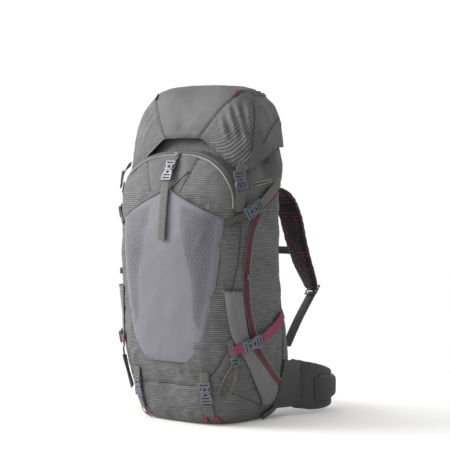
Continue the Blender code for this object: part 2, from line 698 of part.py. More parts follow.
def make_hip_belt():
    count = 16
    line = hip_centre_line(count)
    for label, side in SIDES:
        pivot = (side * HIP_PIVOT.x, HIP_PIVOT.y, HIP_PIVOT.z)
        rings = []
        for i, point in enumerate(line):
            share = i / (count - 1)
            low = smooth_curve([(a, b) for a, b, _ in HIP_ROWS], share)
            high = smooth_curve([(a, c) for a, _, c in HIP_ROWS], share)
            out = hip_outward(line, i) * 0.008
            corner = 0.005
            profile = [(-1, low + corner), (-0.5, low), (0.5, low), (1, low + corner),
                       (1, high - corner), (0.5, high), (-0.5, high), (-1, high - corner)]
            rings.append(mirrored([point + out * a + Vector((0, 0, z)) for a, z in profile], side))
        loft(f"hip_wing_{label}", rings, "dark_nylon", origin=pivot)
        rings = []
        for i in range(4, 13):
            share = (i - 4) / 8
            swell = 0.0085 + 0.012 * math.sin(math.pi * share) ** 0.6
            out = hip_outward(line, i)
            low, high = 0.024 + 0.004 * share, 0.086 - 0.010 * share
            profile = [(0.0085, low), (swell, low + 0.008), (swell, high - 0.008), (0.0085, high)]
            if i in (4, 12):
                profile = [(0.0085, low), (0.0095, low + 0.008), (0.0095, high - 0.008), (0.0085, high)]
            rings.append(mirrored([line[i] + out * a + Vector((0, 0, z)) for a, z in profile], side))
        loft(f"hip_pocket_{label}", rings, "dark_nylon", origin=pivot)


HIP_WEB_Y = 0.3150
HIP_WEB_HEIGHT = 0.051


def make_hip_buckle():
    """The waist web runs on from each wing to half of the wide buckle; the belt stands unclipped."""
    scale = 1.5
    for label, side in SIDES:
        mouth = Vector((0.030, HIP_WEB_Y, HIP_WEB_HEIGHT))
        if side < 0:
            frame = frame_at(mouth, Vector((-1, 0, 0)), Vector((0, 1, 0)), side)
            obj = buckle_socket(f"hip_buckle_{label}", frame, scale)
            start = 0.044
        else:
            frame = frame_at(mouth - Vector((0.018, 0, 0)), Vector((1, 0, 0)), Vector((0, 1, 0)), side)
            obj = buckle_clip(f"hip_buckle_{label}", frame, scale)
            start = 0.049
        route = [(start, HIP_WEB_Y), (0.084, HIP_WEB_Y), (0.095, 0.3115)]
        points = mirrored([Vector((x, y, HIP_WEB_HEIGHT)) for x, y in route], side)
        web = strap("web", points, [Vector((0, 1, 0))] * 3, 0.032, 0.0022, "webbing")
        web.hide_render = True
        web.display_type = "WIRE"
        joined = obj.modifiers.new("web", "BOOLEAN")
        joined.operation = "UNION"
        joined.solver = "EXACT"
        joined.object = web


clear_scene()
make_base_panel()
make_packbag()
make_snow_collar()
make_front_pocket()
make_side_pockets()
make_front_zip()
make_side_zips()
make_body_sliders()
make_lid()
make_lid_zip()
make_side_buckles()
make_base_buckles()
make_pocket_buckle()
make_lid_buckles()
make_frame()
make_pads()
make_haul_loop()
make_shoulder_straps()
make_sternum_straps()
make_hip_belt()
make_hip_buckle()
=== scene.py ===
"""The looks of a framed hiking backpack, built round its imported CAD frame, in the order that it is sewn together.

Metres, +Z up. The stretch pocket faces -Y, the harness is at +Y and the wearer's right is +X.
"""

import json
import math

import bmesh
import bpy
import numpy as np
from mathutils import Matrix, Vector, noise


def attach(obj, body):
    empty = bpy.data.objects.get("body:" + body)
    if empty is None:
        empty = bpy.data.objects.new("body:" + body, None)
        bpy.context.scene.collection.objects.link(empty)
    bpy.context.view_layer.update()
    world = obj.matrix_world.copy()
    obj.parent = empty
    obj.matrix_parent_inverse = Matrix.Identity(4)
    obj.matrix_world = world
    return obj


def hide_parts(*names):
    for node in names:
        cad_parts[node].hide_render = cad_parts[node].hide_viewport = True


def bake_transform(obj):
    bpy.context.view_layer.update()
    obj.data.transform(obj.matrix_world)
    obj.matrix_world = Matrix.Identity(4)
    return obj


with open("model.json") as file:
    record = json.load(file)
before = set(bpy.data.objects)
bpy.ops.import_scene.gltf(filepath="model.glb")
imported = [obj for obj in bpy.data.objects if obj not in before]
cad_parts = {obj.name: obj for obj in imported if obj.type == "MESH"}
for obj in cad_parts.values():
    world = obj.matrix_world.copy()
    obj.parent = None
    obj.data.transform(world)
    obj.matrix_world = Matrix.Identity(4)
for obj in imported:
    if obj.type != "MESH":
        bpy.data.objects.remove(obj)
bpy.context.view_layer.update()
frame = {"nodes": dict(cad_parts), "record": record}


# Studio: a pale floor with a painted glow, a white surround, a big soft light at the front left and the camera.
# The camera stands to the right of the pack's front, so that the front pocket and the right side both show.

def linear(code):
    """An sRGB hex colour as linear red, green, blue and alpha."""
    channels = [int(code[i:i + 2], 16) / 255 for i in (1, 3, 5)]
    return (*[c / 12.92 if c <= 0.04045 else ((c + 0.055) / 1.055) ** 2.4 for c in channels], 1.0)


def add(tree, kind, inputs=None, **settings):
    """Adds a node with its settings, and gives each input a value or a link."""
    made = tree.nodes.new(kind)
    for key, value in settings.items():
        setattr(made, key, value)
    for socket, value in (inputs or {}).items():
        if isinstance(value, bpy.types.NodeSocket):
            tree.links.new(value, made.inputs[socket])
        else:
            made.inputs[socket].default_value = value
    return made


def new_object(name, data):
    made = bpy.data.objects.new(name, data)
    bpy.context.scene.collection.objects.link(made)
    return made


def new_material(name, **values):
    """A material with its tree and its Principled shader, whose plain values are set on its own sockets."""
    made = bpy.data.materials.new(name)
    made.use_nodes = True
    shader = made.node_tree.nodes["Principled BSDF"]
    for socket, value in values.items():
        shader.inputs[socket.replace("_", " ")].default_value = value
    return made, made.node_tree, shader


SHADOW_REACH, GLOW_REACH = 0.22, 1.05


def sweep_paper():
    """Matt white photographer's paper with a painted glow in place of light from below: a faint glow lightens the
    pack's own shadow, and beyond that shadow the glow rises to full white, so the paper has no horizon.
    """
    made, tree, shader = new_material("glowing_studio_paper", Roughness=0.9)
    place = add(tree, "ShaderNodeTexCoord").outputs["Object"]
    tooth = add(tree, "ShaderNodeTexNoise", {"Vector": place, "Scale": 600.0, "Detail": 3.0}).outputs[0]
    tone = add(tree, "ShaderNodeMix", {0: tooth, 6: linear("#e4e3e0"), 7: linear("#ebeae7")}, data_type="RGBA")
    reach = add(tree, "ShaderNodeVectorMath", {0: place}, operation="LENGTH").outputs["Value"]
    # Painted light: the paper glows at 0.10 inside the pack's shadow, which lightens that shadow, and at full strength
    # far out.
    paper_glow = add(tree, "ShaderNodeMapRange", {0: reach, 1: SHADOW_REACH, 2: GLOW_REACH, 3: 0.10},
              interpolation_type="SMOOTHSTEP").outputs[0]
    ground = add(tree, "ShaderNodeMix", {0: paper_glow, 6: tone.outputs[2], 7: (0.0, 0.0, 0.0, 1.0)}, data_type="RGBA")
    tree.links.new(ground.outputs[2], shader.inputs["Base Color"])
    tree.links.new(paper_glow, shader.inputs["Emission Strength"])
    shader.inputs["Emission Color"].default_value = (1.0, 1.0, 1.0, 1.0)
    shader.inputs["Specular IOR Level"].default_value = 0.0
    return made


CAMERA_TURN = math.radians(38.77)
CAMERA_DISTANCE = 3.077
CAMERA_HEIGHT = 0.507
CAMERA_PITCH = math.radians(2.0)
CAMERA_VIEW = math.radians(17.12)
CAMERA_SHIFT = 0.0678

bpy.context.scene.view_settings.view_transform = "Standard"
camera = bpy.data.objects.new("camera", bpy.data.cameras.new("camera"))
camera.data.angle = CAMERA_VIEW
camera.data.shift_x = CAMERA_SHIFT
camera.location = (CAMERA_DISTANCE * math.sin(CAMERA_TURN), -CAMERA_DISTANCE * math.cos(CAMERA_TURN), CAMERA_HEIGHT)
camera.rotation_euler = (math.pi / 2 - CAMERA_PITCH, 0, CAMERA_TURN)
bpy.context.scene.collection.objects.link(camera)
bpy.context.scene.camera = camera

bm = bmesh.new()
bmesh.ops.create_circle(bm, cap_ends=True, segments=96, radius=14.0)
floor_mesh = bpy.data.meshes.new("floor")
bm.to_mesh(floor_mesh)
bm.free()
floor = bpy.data.objects.new("floor", floor_mesh)
floor.data.materials.append(sweep_paper())
bpy.context.scene.collection.objects.link(floor)

world = bpy.data.worlds.new("white_surround")
world.use_nodes = True
sky = world.node_tree
way = add(sky, "ShaderNodeTexCoord").outputs["Generated"]
facing = add(sky, "ShaderNodeVectorMath", {0: way, 1: (-0.62, -0.40, 0.68)}, operation="DOT_PRODUCT").outputs["Value"]
glow = add(sky, "ShaderNodeMapRange", {0: facing, 1: -0.55, 2: 0.95, 3: 0.16, 4: 1.30},
           interpolation_type="SMOOTHSTEP").outputs[0]
seen = add(sky, "ShaderNodeLightPath").outputs["Is Camera Ray"]
level = add(sky, "ShaderNodeMix", {0: seen, 2: glow, 3: 1.02}, data_type="FLOAT").outputs[0]
sky.nodes["Background"].inputs["Color"].default_value = (1.0, 1.0, 1.0, 1.0)
sky.links.new(level, sky.nodes["Background"].inputs["Strength"])
bpy.context.scene.world = world

LIGHTS = (  # name, place, size, watts
    ("key_softbox", (-3.0, -1.9, 2.1), 2.8, 218.0),
    ("rim_softbox", (1.6, 2.4, 2.2), 1.2, 22.0),
)
for name, place, size, watts in LIGHTS:
    lamp = bpy.data.lights.new(name, "AREA")
    lamp.shape = "DISK"
    lamp.size = size
    lamp.energy = watts
    light = bpy.data.objects.new(name, lamp)
    light.location = place
    light.rotation_euler = (Vector((0, 0, 0.35)) - Vector(place)).to_track_quat("-Z", "Y").to_euler()
    bpy.context.scene.collection.objects.link(light)


# The bag: a tube of coated ripstop nylon, cut in panels and sewn inside out, so that every seam is a groove.
# The panels inside the arch zip are packed full and stand out; the cloth above the arch falls back under the lid.

BODY_ROWS = np.array((  # height, half width, front and back
    (0.000, 0.116, -0.056, 0.116),
    (0.022, 0.131, -0.069, 0.134),
    (0.070, 0.152, -0.079, 0.146),
    (0.150, 0.166, -0.090, 0.132),
    (0.250, 0.167, -0.093, 0.106),
    (0.350, 0.169, -0.094, 0.096),
    (0.450, 0.166, -0.085, 0.096),
    (0.490, 0.164, -0.077, 0.095),
    (0.520, 0.158, -0.064, 0.092),
    (0.545, 0.151, -0.047, 0.090),
    (0.565, 0.145, -0.034, 0.088),
    (0.600, 0.136, -0.022, 0.084),
    (0.640, 0.122, -0.004, 0.078),
))
WIDEST_SHARE = 0.62
FRONT_ROUNDNESS, BACK_ROUNDNESS = 3.0, 4.5
BAG_FOOT, BAG_TOP = 0.0300, 0.600
ARCH_HALF_WIDTH, ARCH_FOOT, ARCH_RISE, ARCH_ROUNDNESS = 0.144, 0.435, 0.109, 2.4
CLOTH = 0.0012


def smooth(keys, at):
    """Values at places along (place, value) keys, on a cubic whose slopes never overshoot."""
    x, y = np.array(keys, float).T
    at = np.clip(at, x[0], x[-1])
    step = np.diff(x)
    slope = np.diff(y) / step
    product = slope[:-1] * slope[1:]
    total = np.where(product > 0, slope[:-1] + slope[1:], 1.0)
    slopes = np.concatenate(([slope[0]], np.where(product > 0, 2 * product / total, 0.0), [slope[-1]]))
    i = np.clip(np.searchsorted(x, at, side="right") - 1, 0, len(x) - 2)
    t = (at - x[i]) / step[i]
    return (y[i] * (1 + 2 * t) * (1 - t) ** 2 + slopes[i] * step[i] * t * (1 - t) ** 2
            + y[i + 1] * t * t * (3 - 2 * t) + slopes[i + 1] * step[i] * t * t * (t - 1))


def ease(value, start, end):
    """0 at the start, 1 at the end, and smooth between."""
    t = np.clip((value - start) / (end - start), 0, 1)
    return t * t * (3 - 2 * t)


def section(rows, height):
    """Half width, front, back and widest depth at a height."""
    half_width, front, back = [smooth(rows[:, (0, i)], height) for i in (1, 2, 3)]
    return half_width, front, back, front + WIDEST_SHARE * (back - front)


def skin(rows, angle, height, lift=0.0):
    """Points of the skin at an angle round from +X, a quarter turn being the back."""
    half_width, front, back, widest = section(rows, height)
    behind = np.sin(angle) > 0
    power = np.where(behind, BACK_ROUNDNESS, FRONT_ROUNDNESS)
    a = half_width + lift
    b = np.where(behind, back - widest, widest - front) + lift
    radius = (np.abs(np.cos(angle) / a) ** power + np.abs(np.sin(angle) / b) ** power) ** (-1 / power)
    return np.stack([radius * np.cos(angle), widest + radius * np.sin(angle), height + 0 * angle], axis=-1)


def front_at(x, height, lift=0.0):
    """Points of the front skin, straight behind places seen from the front."""
    half_width, front, _, widest = section(BODY_ROWS, height)
    share = np.minimum(1.0, np.abs(x) / (half_width + lift)) ** FRONT_ROUNDNESS
    y = widest - (widest - front + lift) * (1 - share) ** (1 / FRONT_ROUNDNESS)
    return np.stack([x + 0 * y, y, height + 0 * y], axis=-1)


def side_at(y, height, lift=0.0):
    """Points of the right side's skin, at a depth and a height."""
    half_width, front, back, widest = section(BODY_ROWS, height)
    behind = y > widest
    power = np.where(behind, BACK_ROUNDNESS, FRONT_ROUNDNESS)
    reach = np.where(behind, back - widest, widest - front) + lift
    share = np.minimum(1.0, np.abs(y - widest) / reach) ** power
    x = (half_width + lift) * (1 - share) ** (1 / power)
    return np.stack([x, y + 0 * x, height + 0 * x], axis=-1)


def outward_of(place, u, v):
    """Outward unit normals of a skin function at its places (u, v)."""
    step = 0.002
    across = place(u + step, v) - place(u - step, v)
    up = place(u, v + step) - place(u, v - step)
    found = np.cross(across, up)
    return found / np.linalg.norm(found, axis=-1, keepdims=True)


def evenly(points, count):
    """A smooth curve through route points, read at equal steps."""
    points = np.array(points, float)
    ends = np.vstack([2 * points[0] - points[1], points, 2 * points[-1] - points[-2]])
    t = np.linspace(0, 1, 24, endpoint=False)[:, None]
    fine = [0.5 * (2 * b + (c - a) * t + (2 * a - 5 * b + 4 * c - d) * t * t + (3 * b - a - 3 * c + d) * t ** 3)
            for a, b, c, d in zip(ends, ends[1:], ends[2:], ends[3:])]
    fine = np.vstack([*fine, points[-1:]])
    reach = np.concatenate(([0], np.cumsum(np.linalg.norm(np.diff(fine, axis=0), axis=1))))
    wanted = np.linspace(0, reach[-1], count)
    return np.stack([np.interp(wanted, reach, fine[:, k]) for k in range(fine.shape[1])], axis=-1)


def ring_shares(rows, height, count):
    """Angles that step evenly round the skin at a height, from the middle of the back."""
    fine = np.linspace(math.pi / 2, math.pi / 2 + 2 * math.pi, 721)
    line = skin(rows, fine, np.full(721, height))
    reach = np.concatenate(([0], np.cumsum(np.linalg.norm(np.diff(line, axis=0), axis=1))))
    return np.interp(np.linspace(0, reach[-1], count + 1), reach, fine), reach[-1]


def grid_normals(places, closed):
    """Outward normals of a grid of places, whose columns go round to the left and whose rows go up."""
    if closed:
        around = np.roll(places, -1, axis=1) - np.roll(places, 1, axis=1)
    else:
        around = np.gradient(places, axis=1)
    found = np.cross(around, np.gradient(places, axis=0))
    return found / np.maximum(np.linalg.norm(found, axis=-1, keepdims=True), 1e-12)


def sewn_shell(name, places, cut, closed=False, pole=None, thickness=CLOTH):
    """A shell of cloth over a grid of places. cut holds each place on the flat cloth, in metres, as its UV."""
    rows, columns = places.shape[:2]
    index = np.arange(rows * columns).reshape(rows, columns)
    if closed:
        index = np.hstack([index, index[:, :1]])
    corners = np.stack([index[:-1, :-1], index[:-1, 1:], index[1:, 1:], index[1:, :-1]], axis=-1).reshape(-1, 4)
    cuts = np.stack([cut[:-1, :-1], cut[:-1, 1:], cut[1:, 1:], cut[1:, :-1]], axis=-2).reshape(-1, 4, 2)
    verts = places.reshape(-1, 3).tolist()
    faces, loops = corners.tolist(), cuts.reshape(-1, 2).tolist()
    if pole is not None:
        verts.append(list(pole))
        for j in range(columns):
            faces.append([int(index[-1, j]), int(index[-1, j + 1]), len(verts) - 1])
            loops += [list(cut[-1, j]), list(cut[-1, j + 1]), list(cut[-1, j] + (0, 0.02))]
    mesh = bpy.data.meshes.new(name)
    mesh.from_pydata(verts, [], faces)
    layer = mesh.uv_layers.new(name="cut")
    layer.data.foreach_set("uv", np.array(loops, np.float32).ravel())
    mesh.shade_smooth()
    obj = new_object(name, mesh)
    if thickness:
        wall = obj.modifiers.new("cloth_thickness", "SOLIDIFY")
        wall.thickness = thickness
        wall.offset = -1
    return obj


def distance_to(points, line):
    """Distance from each point to a line of points, and how far along the line it is nearest."""
    best = np.full(len(points), 1.0)
    along = np.zeros(len(points))
    line = np.array(line)
    low, high = line.min(0) - 0.03, line.max(0) + 0.03
    near = np.where(((points > low) & (points < high)).all(axis=1))[0]
    if not len(near):
        return best, along
    run = 0.0
    chosen = points[near]
    for a, b in zip(line, line[1:]):
        span = b - a
        size = max(np.linalg.norm(span), 1e-9)
        t = np.clip((chosen - a) @ span / size ** 2, 0, 1)
        away = np.linalg.norm(chosen - (a + t[:, None] * span), axis=1)
        nearer = away < best[near]
        best[near[nearer]] = away[nearer]
        along[near[nearer]] = run + t[nearer] * size
        run += size
    return best, along


SEAM_DEPTH, SEAM_HALF_WIDTH = 0.0018, 0.0028
PUCKER_PITCH, PUCKER_DEPTH = 0.011, 0.00045


def pressed_in(points, seams):
    """How far the cloth dips at its seams, with the small puckers that the thread pulls up beside them."""
    dip = np.zeros(len(points))
    for seam in seams:
        away, along = distance_to(points, seam)
        dip -= SEAM_DEPTH * np.exp(-(away / SEAM_HALF_WIDTH) ** 2)
        reach = np.exp(-(away / (3.2 * SEAM_HALF_WIDTH)) ** 2)
        dip += PUCKER_DEPTH * np.sin(2 * math.pi * along / PUCKER_PITCH + 1.7 * np.sin(along * 97)) * reach
    return dip


def folded(points, folds):
    """Soft folds, each a ridge or, with a negative height, a hollow, from one place to another."""
    rise = np.zeros(len(points))
    for start, end, half_width, height in folds:
        away, along = distance_to(points, evenly([start, (np.array(start) + end) / 2, end], 9))
        length = np.linalg.norm(np.array(end) - start)
        taper = np.sin(math.pi * np.clip(along / length, 0.03, 0.97)) ** 0.6
        rise += height * np.exp(-(away / half_width) ** 2) * taper
    return rise


def slack(points, size, depth, seed):
    """The slow unevenness of cloth that is packed from the inside."""
    shift = Vector((seed * 1.37, seed * 0.71, seed * 2.13))
    return np.array([noise.fractal(Vector(p) / size + shift, 0.9, 2.0, 3) for p in points]) * depth


def arch_share(x, height):
    """1 on the arch zip, less inside it and more outside."""
    rise = np.maximum(height - ARCH_FOOT, 0) / ARCH_RISE
    return (np.abs(x / ARCH_HALF_WIDTH) ** ARCH_ROUNDNESS + rise ** ARCH_ROUNDNESS) ** (1 / ARCH_ROUNDNESS)


def mirrored(points):
    return np.array(points) * (-1, 1, 1)


POD_RISE, POD_DROP = 0.0055, 0.0125


def pod_lift(x, y, height):
    """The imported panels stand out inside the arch, and the cloth outside it falls back."""
    share = arch_share(x, height)
    facing = ease(y, -0.008, -0.038)
    up = POD_RISE * ease(share, 1.04, 0.96) * ease(height, 0.40, 0.47)
    down = POD_DROP * ease(share, 1.00, 1.15) * ease(height, 0.455, 0.505)
    return (up - down) * facing


def front_line(route, count=24, lift=0.0):
    """A line over the bag's front through (x, height) places."""
    flat = evenly(route, count)
    places = front_at(flat[:, 0], flat[:, 1])
    rise = pod_lift(places[:, 0], places[:, 1], places[:, 2]) + lift
    return places + outward_of(front_at, flat[:, 0], flat[:, 1]) * rise[:, None]


def side_line(route, count=24, lift=0.0):
    """A line over the bag's right side through (depth, height) places."""
    flat = evenly(route, count)
    return side_at(flat[:, 0], flat[:, 1], lift)


LEFT_DART = ((-0.080, 0.534), (-0.064, 0.507), (-0.045, 0.467))
RIGHT_DART = ((0.057, 0.538), (0.048, 0.501), (0.032, 0.466))
CROSS_SEAM = ((-0.067, 0.081), (0.000, 0.080), (0.063, 0.081))
COLUMN_SEAM = ((0.088, 0.094), (0.108, 0.112), (0.119, 0.127), (0.134, 0.159))
FOOT_SEAM = ((-0.062, 0.100), (-0.045, 0.070), (-0.031, 0.064), (0.002, 0.050), (0.049, 0.031))
SIDE_SEAM = ((0.086, 0.060), (0.082, 0.180), (0.080, 0.300), (0.078, 0.420), (0.078, 0.560))
CORNER_SEAM = ((-0.052, 0.425), (-0.046, 0.470), (-0.036, 0.505), (-0.020, 0.530))
STRIP_SEAM = ((-0.046, 0.425), (-0.050, 0.350), (-0.060, 0.273))
YOKE_SEAM = ((-0.046, 0.440), (-0.012, 0.418), (0.030, 0.440), (0.078, 0.470))

bag_seams = [front_line(LEFT_DART), front_line(RIGHT_DART), front_line(CROSS_SEAM)]
for side_route in (FOOT_SEAM, SIDE_SEAM, CORNER_SEAM, STRIP_SEAM, YOKE_SEAM):
    bag_seams += [side_line(side_route), mirrored(side_line(side_route))]
bag_seams += [front_line(COLUMN_SEAM), mirrored(front_line(COLUMN_SEAM))]

COLUMNS, ROWS = 240, 184
heights = np.linspace(BAG_FOOT, BAG_TOP, ROWS)
places, cut = [], []
run = 0.0
for k, height in enumerate(heights):
    angles, length = ring_shares(BODY_ROWS, height, COLUMNS)
    line = skin(BODY_ROWS, angles, np.full(COLUMNS + 1, height))
    if k:
        run += np.linalg.norm(line[COLUMNS // 2] - places[-1][COLUMNS // 2])
    places.append(line[:-1])
    cut.append(np.stack([np.linspace(-length / 2, length / 2, COLUMNS + 1), np.full(COLUMNS + 1, run)], axis=-1))
places, cut = np.array(places), np.array(cut)
flat = places.reshape(-1, 3)

BAG_FOLDS = [  # start, end, half width, height
    (front_at(-0.045, 0.119), front_at(-0.020, 0.095), 0.006, 0.0022),
    (front_at(-0.015, 0.121), front_at(0.004, 0.092), 0.005, 0.0020),
    (front_at(0.022, 0.121), front_at(0.034, 0.096), 0.005, 0.0024),
    (front_at(0.048, 0.124), front_at(0.062, 0.098), 0.006, 0.0022),
    (front_at(0.080, 0.150), front_at(0.108, 0.118), 0.007, 0.0026),
    (front_at(-0.082, 0.150), front_at(-0.104, 0.116), 0.007, 0.0026),
    (front_at(0.030, 0.560), front_at(0.066, 0.545), 0.006, 0.0020),
    (front_at(-0.006, 0.566), front_at(-0.014, 0.549), 0.004, 0.0018),
    (front_at(0.012, 0.566), front_at(0.016, 0.550), 0.004, 0.0016),
    (front_at(-0.036, 0.562), front_at(-0.050, 0.548), 0.004, 0.0018),
    (front_at(0.128, 0.300), front_at(0.134, 0.246), 0.006, 0.0020),
    (front_at(0.122, 0.236), front_at(0.128, 0.205), 0.006, -0.0016),
    (front_at(0.112, 0.400), front_at(0.121, 0.360), 0.007, 0.0016),
    (side_at(-0.095, 0.345), side_at(-0.054, 0.338), 0.0055, 0.0022),
    (side_at(-0.092, 0.318), side_at(-0.056, 0.324), 0.0050, -0.0020),
    (side_at(-0.090, 0.300), side_at(-0.060, 0.296), 0.0050, 0.0024),
    (side_at(-0.088, 0.283), side_at(-0.064, 0.287), 0.0045, -0.0020),
    (side_at(-0.086, 0.262), side_at(-0.070, 0.256), 0.0050, 0.0022),
    (side_at(-0.084, 0.236), side_at(-0.072, 0.228), 0.0050, 0.0022),
    (front_at(0.060, 0.500), front_at(0.110, 0.470), 0.0070, 0.0020),
    (front_at(0.052, 0.486), front_at(0.090, 0.458), 0.0050, -0.0014),
    (front_at(0.075, 0.515), front_at(0.118, 0.490), 0.0060, 0.0016),
    (front_at(-0.118, 0.480), front_at(-0.086, 0.505), 0.0060, 0.0014),
    (side_at(0.010, 0.330), side_at(0.060, 0.310), 0.008, 0.0020),
    (side_at(0.000, 0.250), side_at(0.055, 0.235), 0.006, 0.0018),
    (side_at(0.020, 0.150), side_at(0.070, 0.170), 0.008, 0.0018),
    (side_at(0.030, 0.400), side_at(0.070, 0.385), 0.008, 0.0015),
    (side_at(-0.030, 0.500), side_at(0.050, 0.470), 0.009, 0.0020),
    (side_at(0.000, 0.520), side_at(0.060, 0.500), 0.007, -0.0015),
]
BAG_FOLDS += [(mirrored(a), mirrored(b), width, height) for a, b, width, height in BAG_FOLDS[13:] if abs(a[0]) > 0.12]

shoulders = ease(flat[:, 2], 0.465, 0.525) * ease(flat[:, 2], 0.572, 0.556) * ease(flat[:, 1], 0.020, 0.055)
shoulders *= 0.016 * ease(np.abs(flat[:, 0]), 0.060, 0.100)
rise = pod_lift(flat[:, 0], flat[:, 1], flat[:, 2]) + shoulders
normals = grid_normals(places, True).reshape(-1, 3)
moved = flat + normals * rise[:, None]
firm = ease(flat[:, 2], 0.030, 0.050) * ease(flat[:, 2], 0.600, 0.585)
rise = firm * (pressed_in(moved, bag_seams) + folded(moved, BAG_FOLDS) + slack(moved, 0.06, 0.0026, 3)
               + slack(moved, 0.022, 0.0011, 8))
normals = grid_normals(moved.reshape(places.shape), True).reshape(-1, 3)
moved = moved + normals * rise[:, None]

moved_bag = moved.reshape(places.shape)
bag_cloth = sewn_shell("bag_cloth", moved_bag, cut, closed=True)


def within(points, outline):
    """Signed distance to a flat outline, more than 0 inside it."""
    away = np.full(len(points), 1.0)
    inside = np.zeros(len(points), bool)
    for (ax, ay), (bx, by) in zip(outline, [*outline[1:], outline[0]]):
        span = np.array((bx - ax, by - ay))
        t = np.clip(((points - (ax, ay)) @ span) / max(span @ span, 1e-12), 0, 1)
        away = np.minimum(away, np.linalg.norm(points - ((ax, ay) + t[:, None] * span), axis=1))
        crosses = (ay > points[:, 1]) != (by > points[:, 1])
        if by != ay:
            inside ^= crosses & (points[:, 0] < ax + (points[:, 1] - ay) * (bx - ax) / (by - ay))
    return np.where(inside, away, -away)


def mark(obj, name, values):
    """Keeps one number for each vertex on the mesh, for its material to read."""
    obj.data.attributes.new(name, "FLOAT", "POINT").data.foreach_set("value", values.astype(np.float32))


in_front = flat[:, 1] < 0.0
centre_panel = [*LEFT_DART, (-0.045, 0.440), (0.032, 0.440), *reversed(RIGHT_DART)]
plain = np.where(in_front, within(flat[:, (0, 2)], centre_panel), -1.0)
outside_arch = (arch_share(flat[:, 0], flat[:, 2]) - 1.0) * ARCH_HALF_WIDTH
plain = np.where(in_front & (flat[:, 2] > ARCH_FOOT), np.maximum(plain, outside_arch), plain)
yoke = [*YOKE_SEAM, (0.090, 0.61), (-0.10, 0.61), (-0.10, 0.440)]
plain = np.where(flat[:, 1] > -0.052, np.maximum(plain, within(flat[:, (1, 2)], yoke)), plain)
rear_foot = [(-0.020, 0.0), (0.020, 0.090), (0.062, 0.100), (0.094, 0.060), (0.20, 0.0)]
plain = np.where(flat[:, 1] > -0.03, np.maximum(plain, within(flat[:, (1, 2)], rear_foot)), plain)
plain = np.maximum(plain, flat[:, 1] - 0.084)
mark(bag_cloth, "plain", plain)


def ripstop_nylon(name, light, dark, rib=0.0040, turn=0.0, plain_mark=True):
    """Polyurethane-coated ripstop: raised ribs about 4 mm apart catch the light on a matt, finely woven ground.

    The single threads are 0.3 mm apart, too fine to show, so the weave is drawn at 1.1 mm.
    """
    made, tree, shader = new_material(name, Roughness=0.54, Sheen_Weight=0.03, Sheen_Roughness=0.4)
    shader.inputs["Specular IOR Level"].default_value = 0.42
    cut = add(tree, "ShaderNodeUVMap", uv_map="cut").outputs[0]
    turned = add(tree, "ShaderNodeMapping", {"Vector": cut, "Rotation": (0, 0, turn)}).outputs[0]
    split = add(tree, "ShaderNodeSeparateXYZ", {0: turned}).outputs

    def wave(coordinate, pitch):
        angle = add(tree, "ShaderNodeMath", {0: coordinate, 1: 2 * math.pi / pitch}, operation="MULTIPLY")
        return add(tree, "ShaderNodeMath", {0: angle.outputs[0]}, operation="SINE").outputs[0]

    ribs = add(tree, "ShaderNodeMapRange", {0: wave(split[1], rib), 1: -0.2, 2: 0.95}).outputs[0]
    stretched = add(tree, "ShaderNodeMapping", {"Vector": turned, "Scale": (40, 260, 1)}).outputs[0]
    breaks = add(tree, "ShaderNodeTexNoise", {"Vector": stretched, "Scale": 1.0, "Detail": 2.0}).outputs[0]
    broken = add(tree, "ShaderNodeMapRange", {0: breaks, 1: 0.34, 2: 0.62, 3: 0.25, 4: 1.0}).outputs[0]
    ribs = add(tree, "ShaderNodeMath", {0: ribs, 1: broken}, operation="MULTIPLY").outputs[0]
    plain = 0.0
    if plain_mark:
        edge = add(tree, "ShaderNodeAttribute", attribute_name="plain").outputs["Fac"]
        keep = add(tree, "ShaderNodeMapRange", {0: edge, 1: -0.0004, 2: 0.0004, 3: 1.0, 4: 0.0}).outputs[0]
        ribs = add(tree, "ShaderNodeMath", {0: ribs, 1: keep}, operation="MULTIPLY").outputs[0]
        plain = add(tree, "ShaderNodeMapRange", {0: edge, 1: -0.0004, 2: 0.0004, 3: 0.0, 4: 0.13}).outputs[0]
    place = add(tree, "ShaderNodeTexCoord").outputs["Object"]
    wear = add(tree, "ShaderNodeTexNoise", {"Vector": place, "Scale": 14.0, "Detail": 4.0}).outputs[0]
    warp = wave(split[0], 0.0011)
    weft = wave(split[1], 0.0011)
    weave = add(tree, "ShaderNodeMath", {0: warp, 1: weft}, operation="MULTIPLY").outputs[0]
    ground = add(tree, "ShaderNodeMapRange", {0: wear, 1: 0.3, 2: 0.7, 3: 0.10, 4: 0.28}).outputs[0]
    ground = add(tree, "ShaderNodeMath", {0: ground, 1: plain}).outputs[0]
    tone = add(tree, "ShaderNodeMath", {0: ribs, 1: 0.62, 2: ground}, operation="MULTIPLY_ADD").outputs[0]
    colour = add(tree, "ShaderNodeMix", {0: tone, 6: linear(dark), 7: linear(light)}, data_type="RGBA")
    tree.links.new(colour.outputs[2], shader.inputs["Base Color"])
    height = add(tree, "ShaderNodeMath", {0: weave, 1: 0.18, 2: ribs}, operation="MULTIPLY_ADD").outputs[0]
    bump = add(tree, "ShaderNodeBump", {"Height": height, "Strength": 0.7, "Distance": 0.0007}).outputs[0]
    tree.links.new(bump, shader.inputs["Normal"])
    return made


def fit(piece, body, slot, *nodes):
    """Fixes a finished piece to its body and hides the CAD nodes that it stands for. slot is not used."""
    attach(piece, body)
    if nodes:
        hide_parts(*nodes)
    return piece


def dressed(piece, material, body, slot, *nodes):
    """Gives a piece its material and fixes it to its body."""
    piece.data.materials.append(material)
    return fit(piece, body, slot, *nodes)


NYLON_LIGHT, NYLON_DARK = "#7d7c7d", "#262526"
body_nylon = ripstop_nylon("coated_ripstop_nylon", NYLON_LIGHT, NYLON_DARK)
dressed(bag_cloth, body_nylon, "pack", "ripstop", "packbag")


# The base: a tray of heavier, darker nylon that takes the wear from the ground, sewn to the bag's foot.
# Its floor is flat where the pack stands on it and turns up in a soft round.

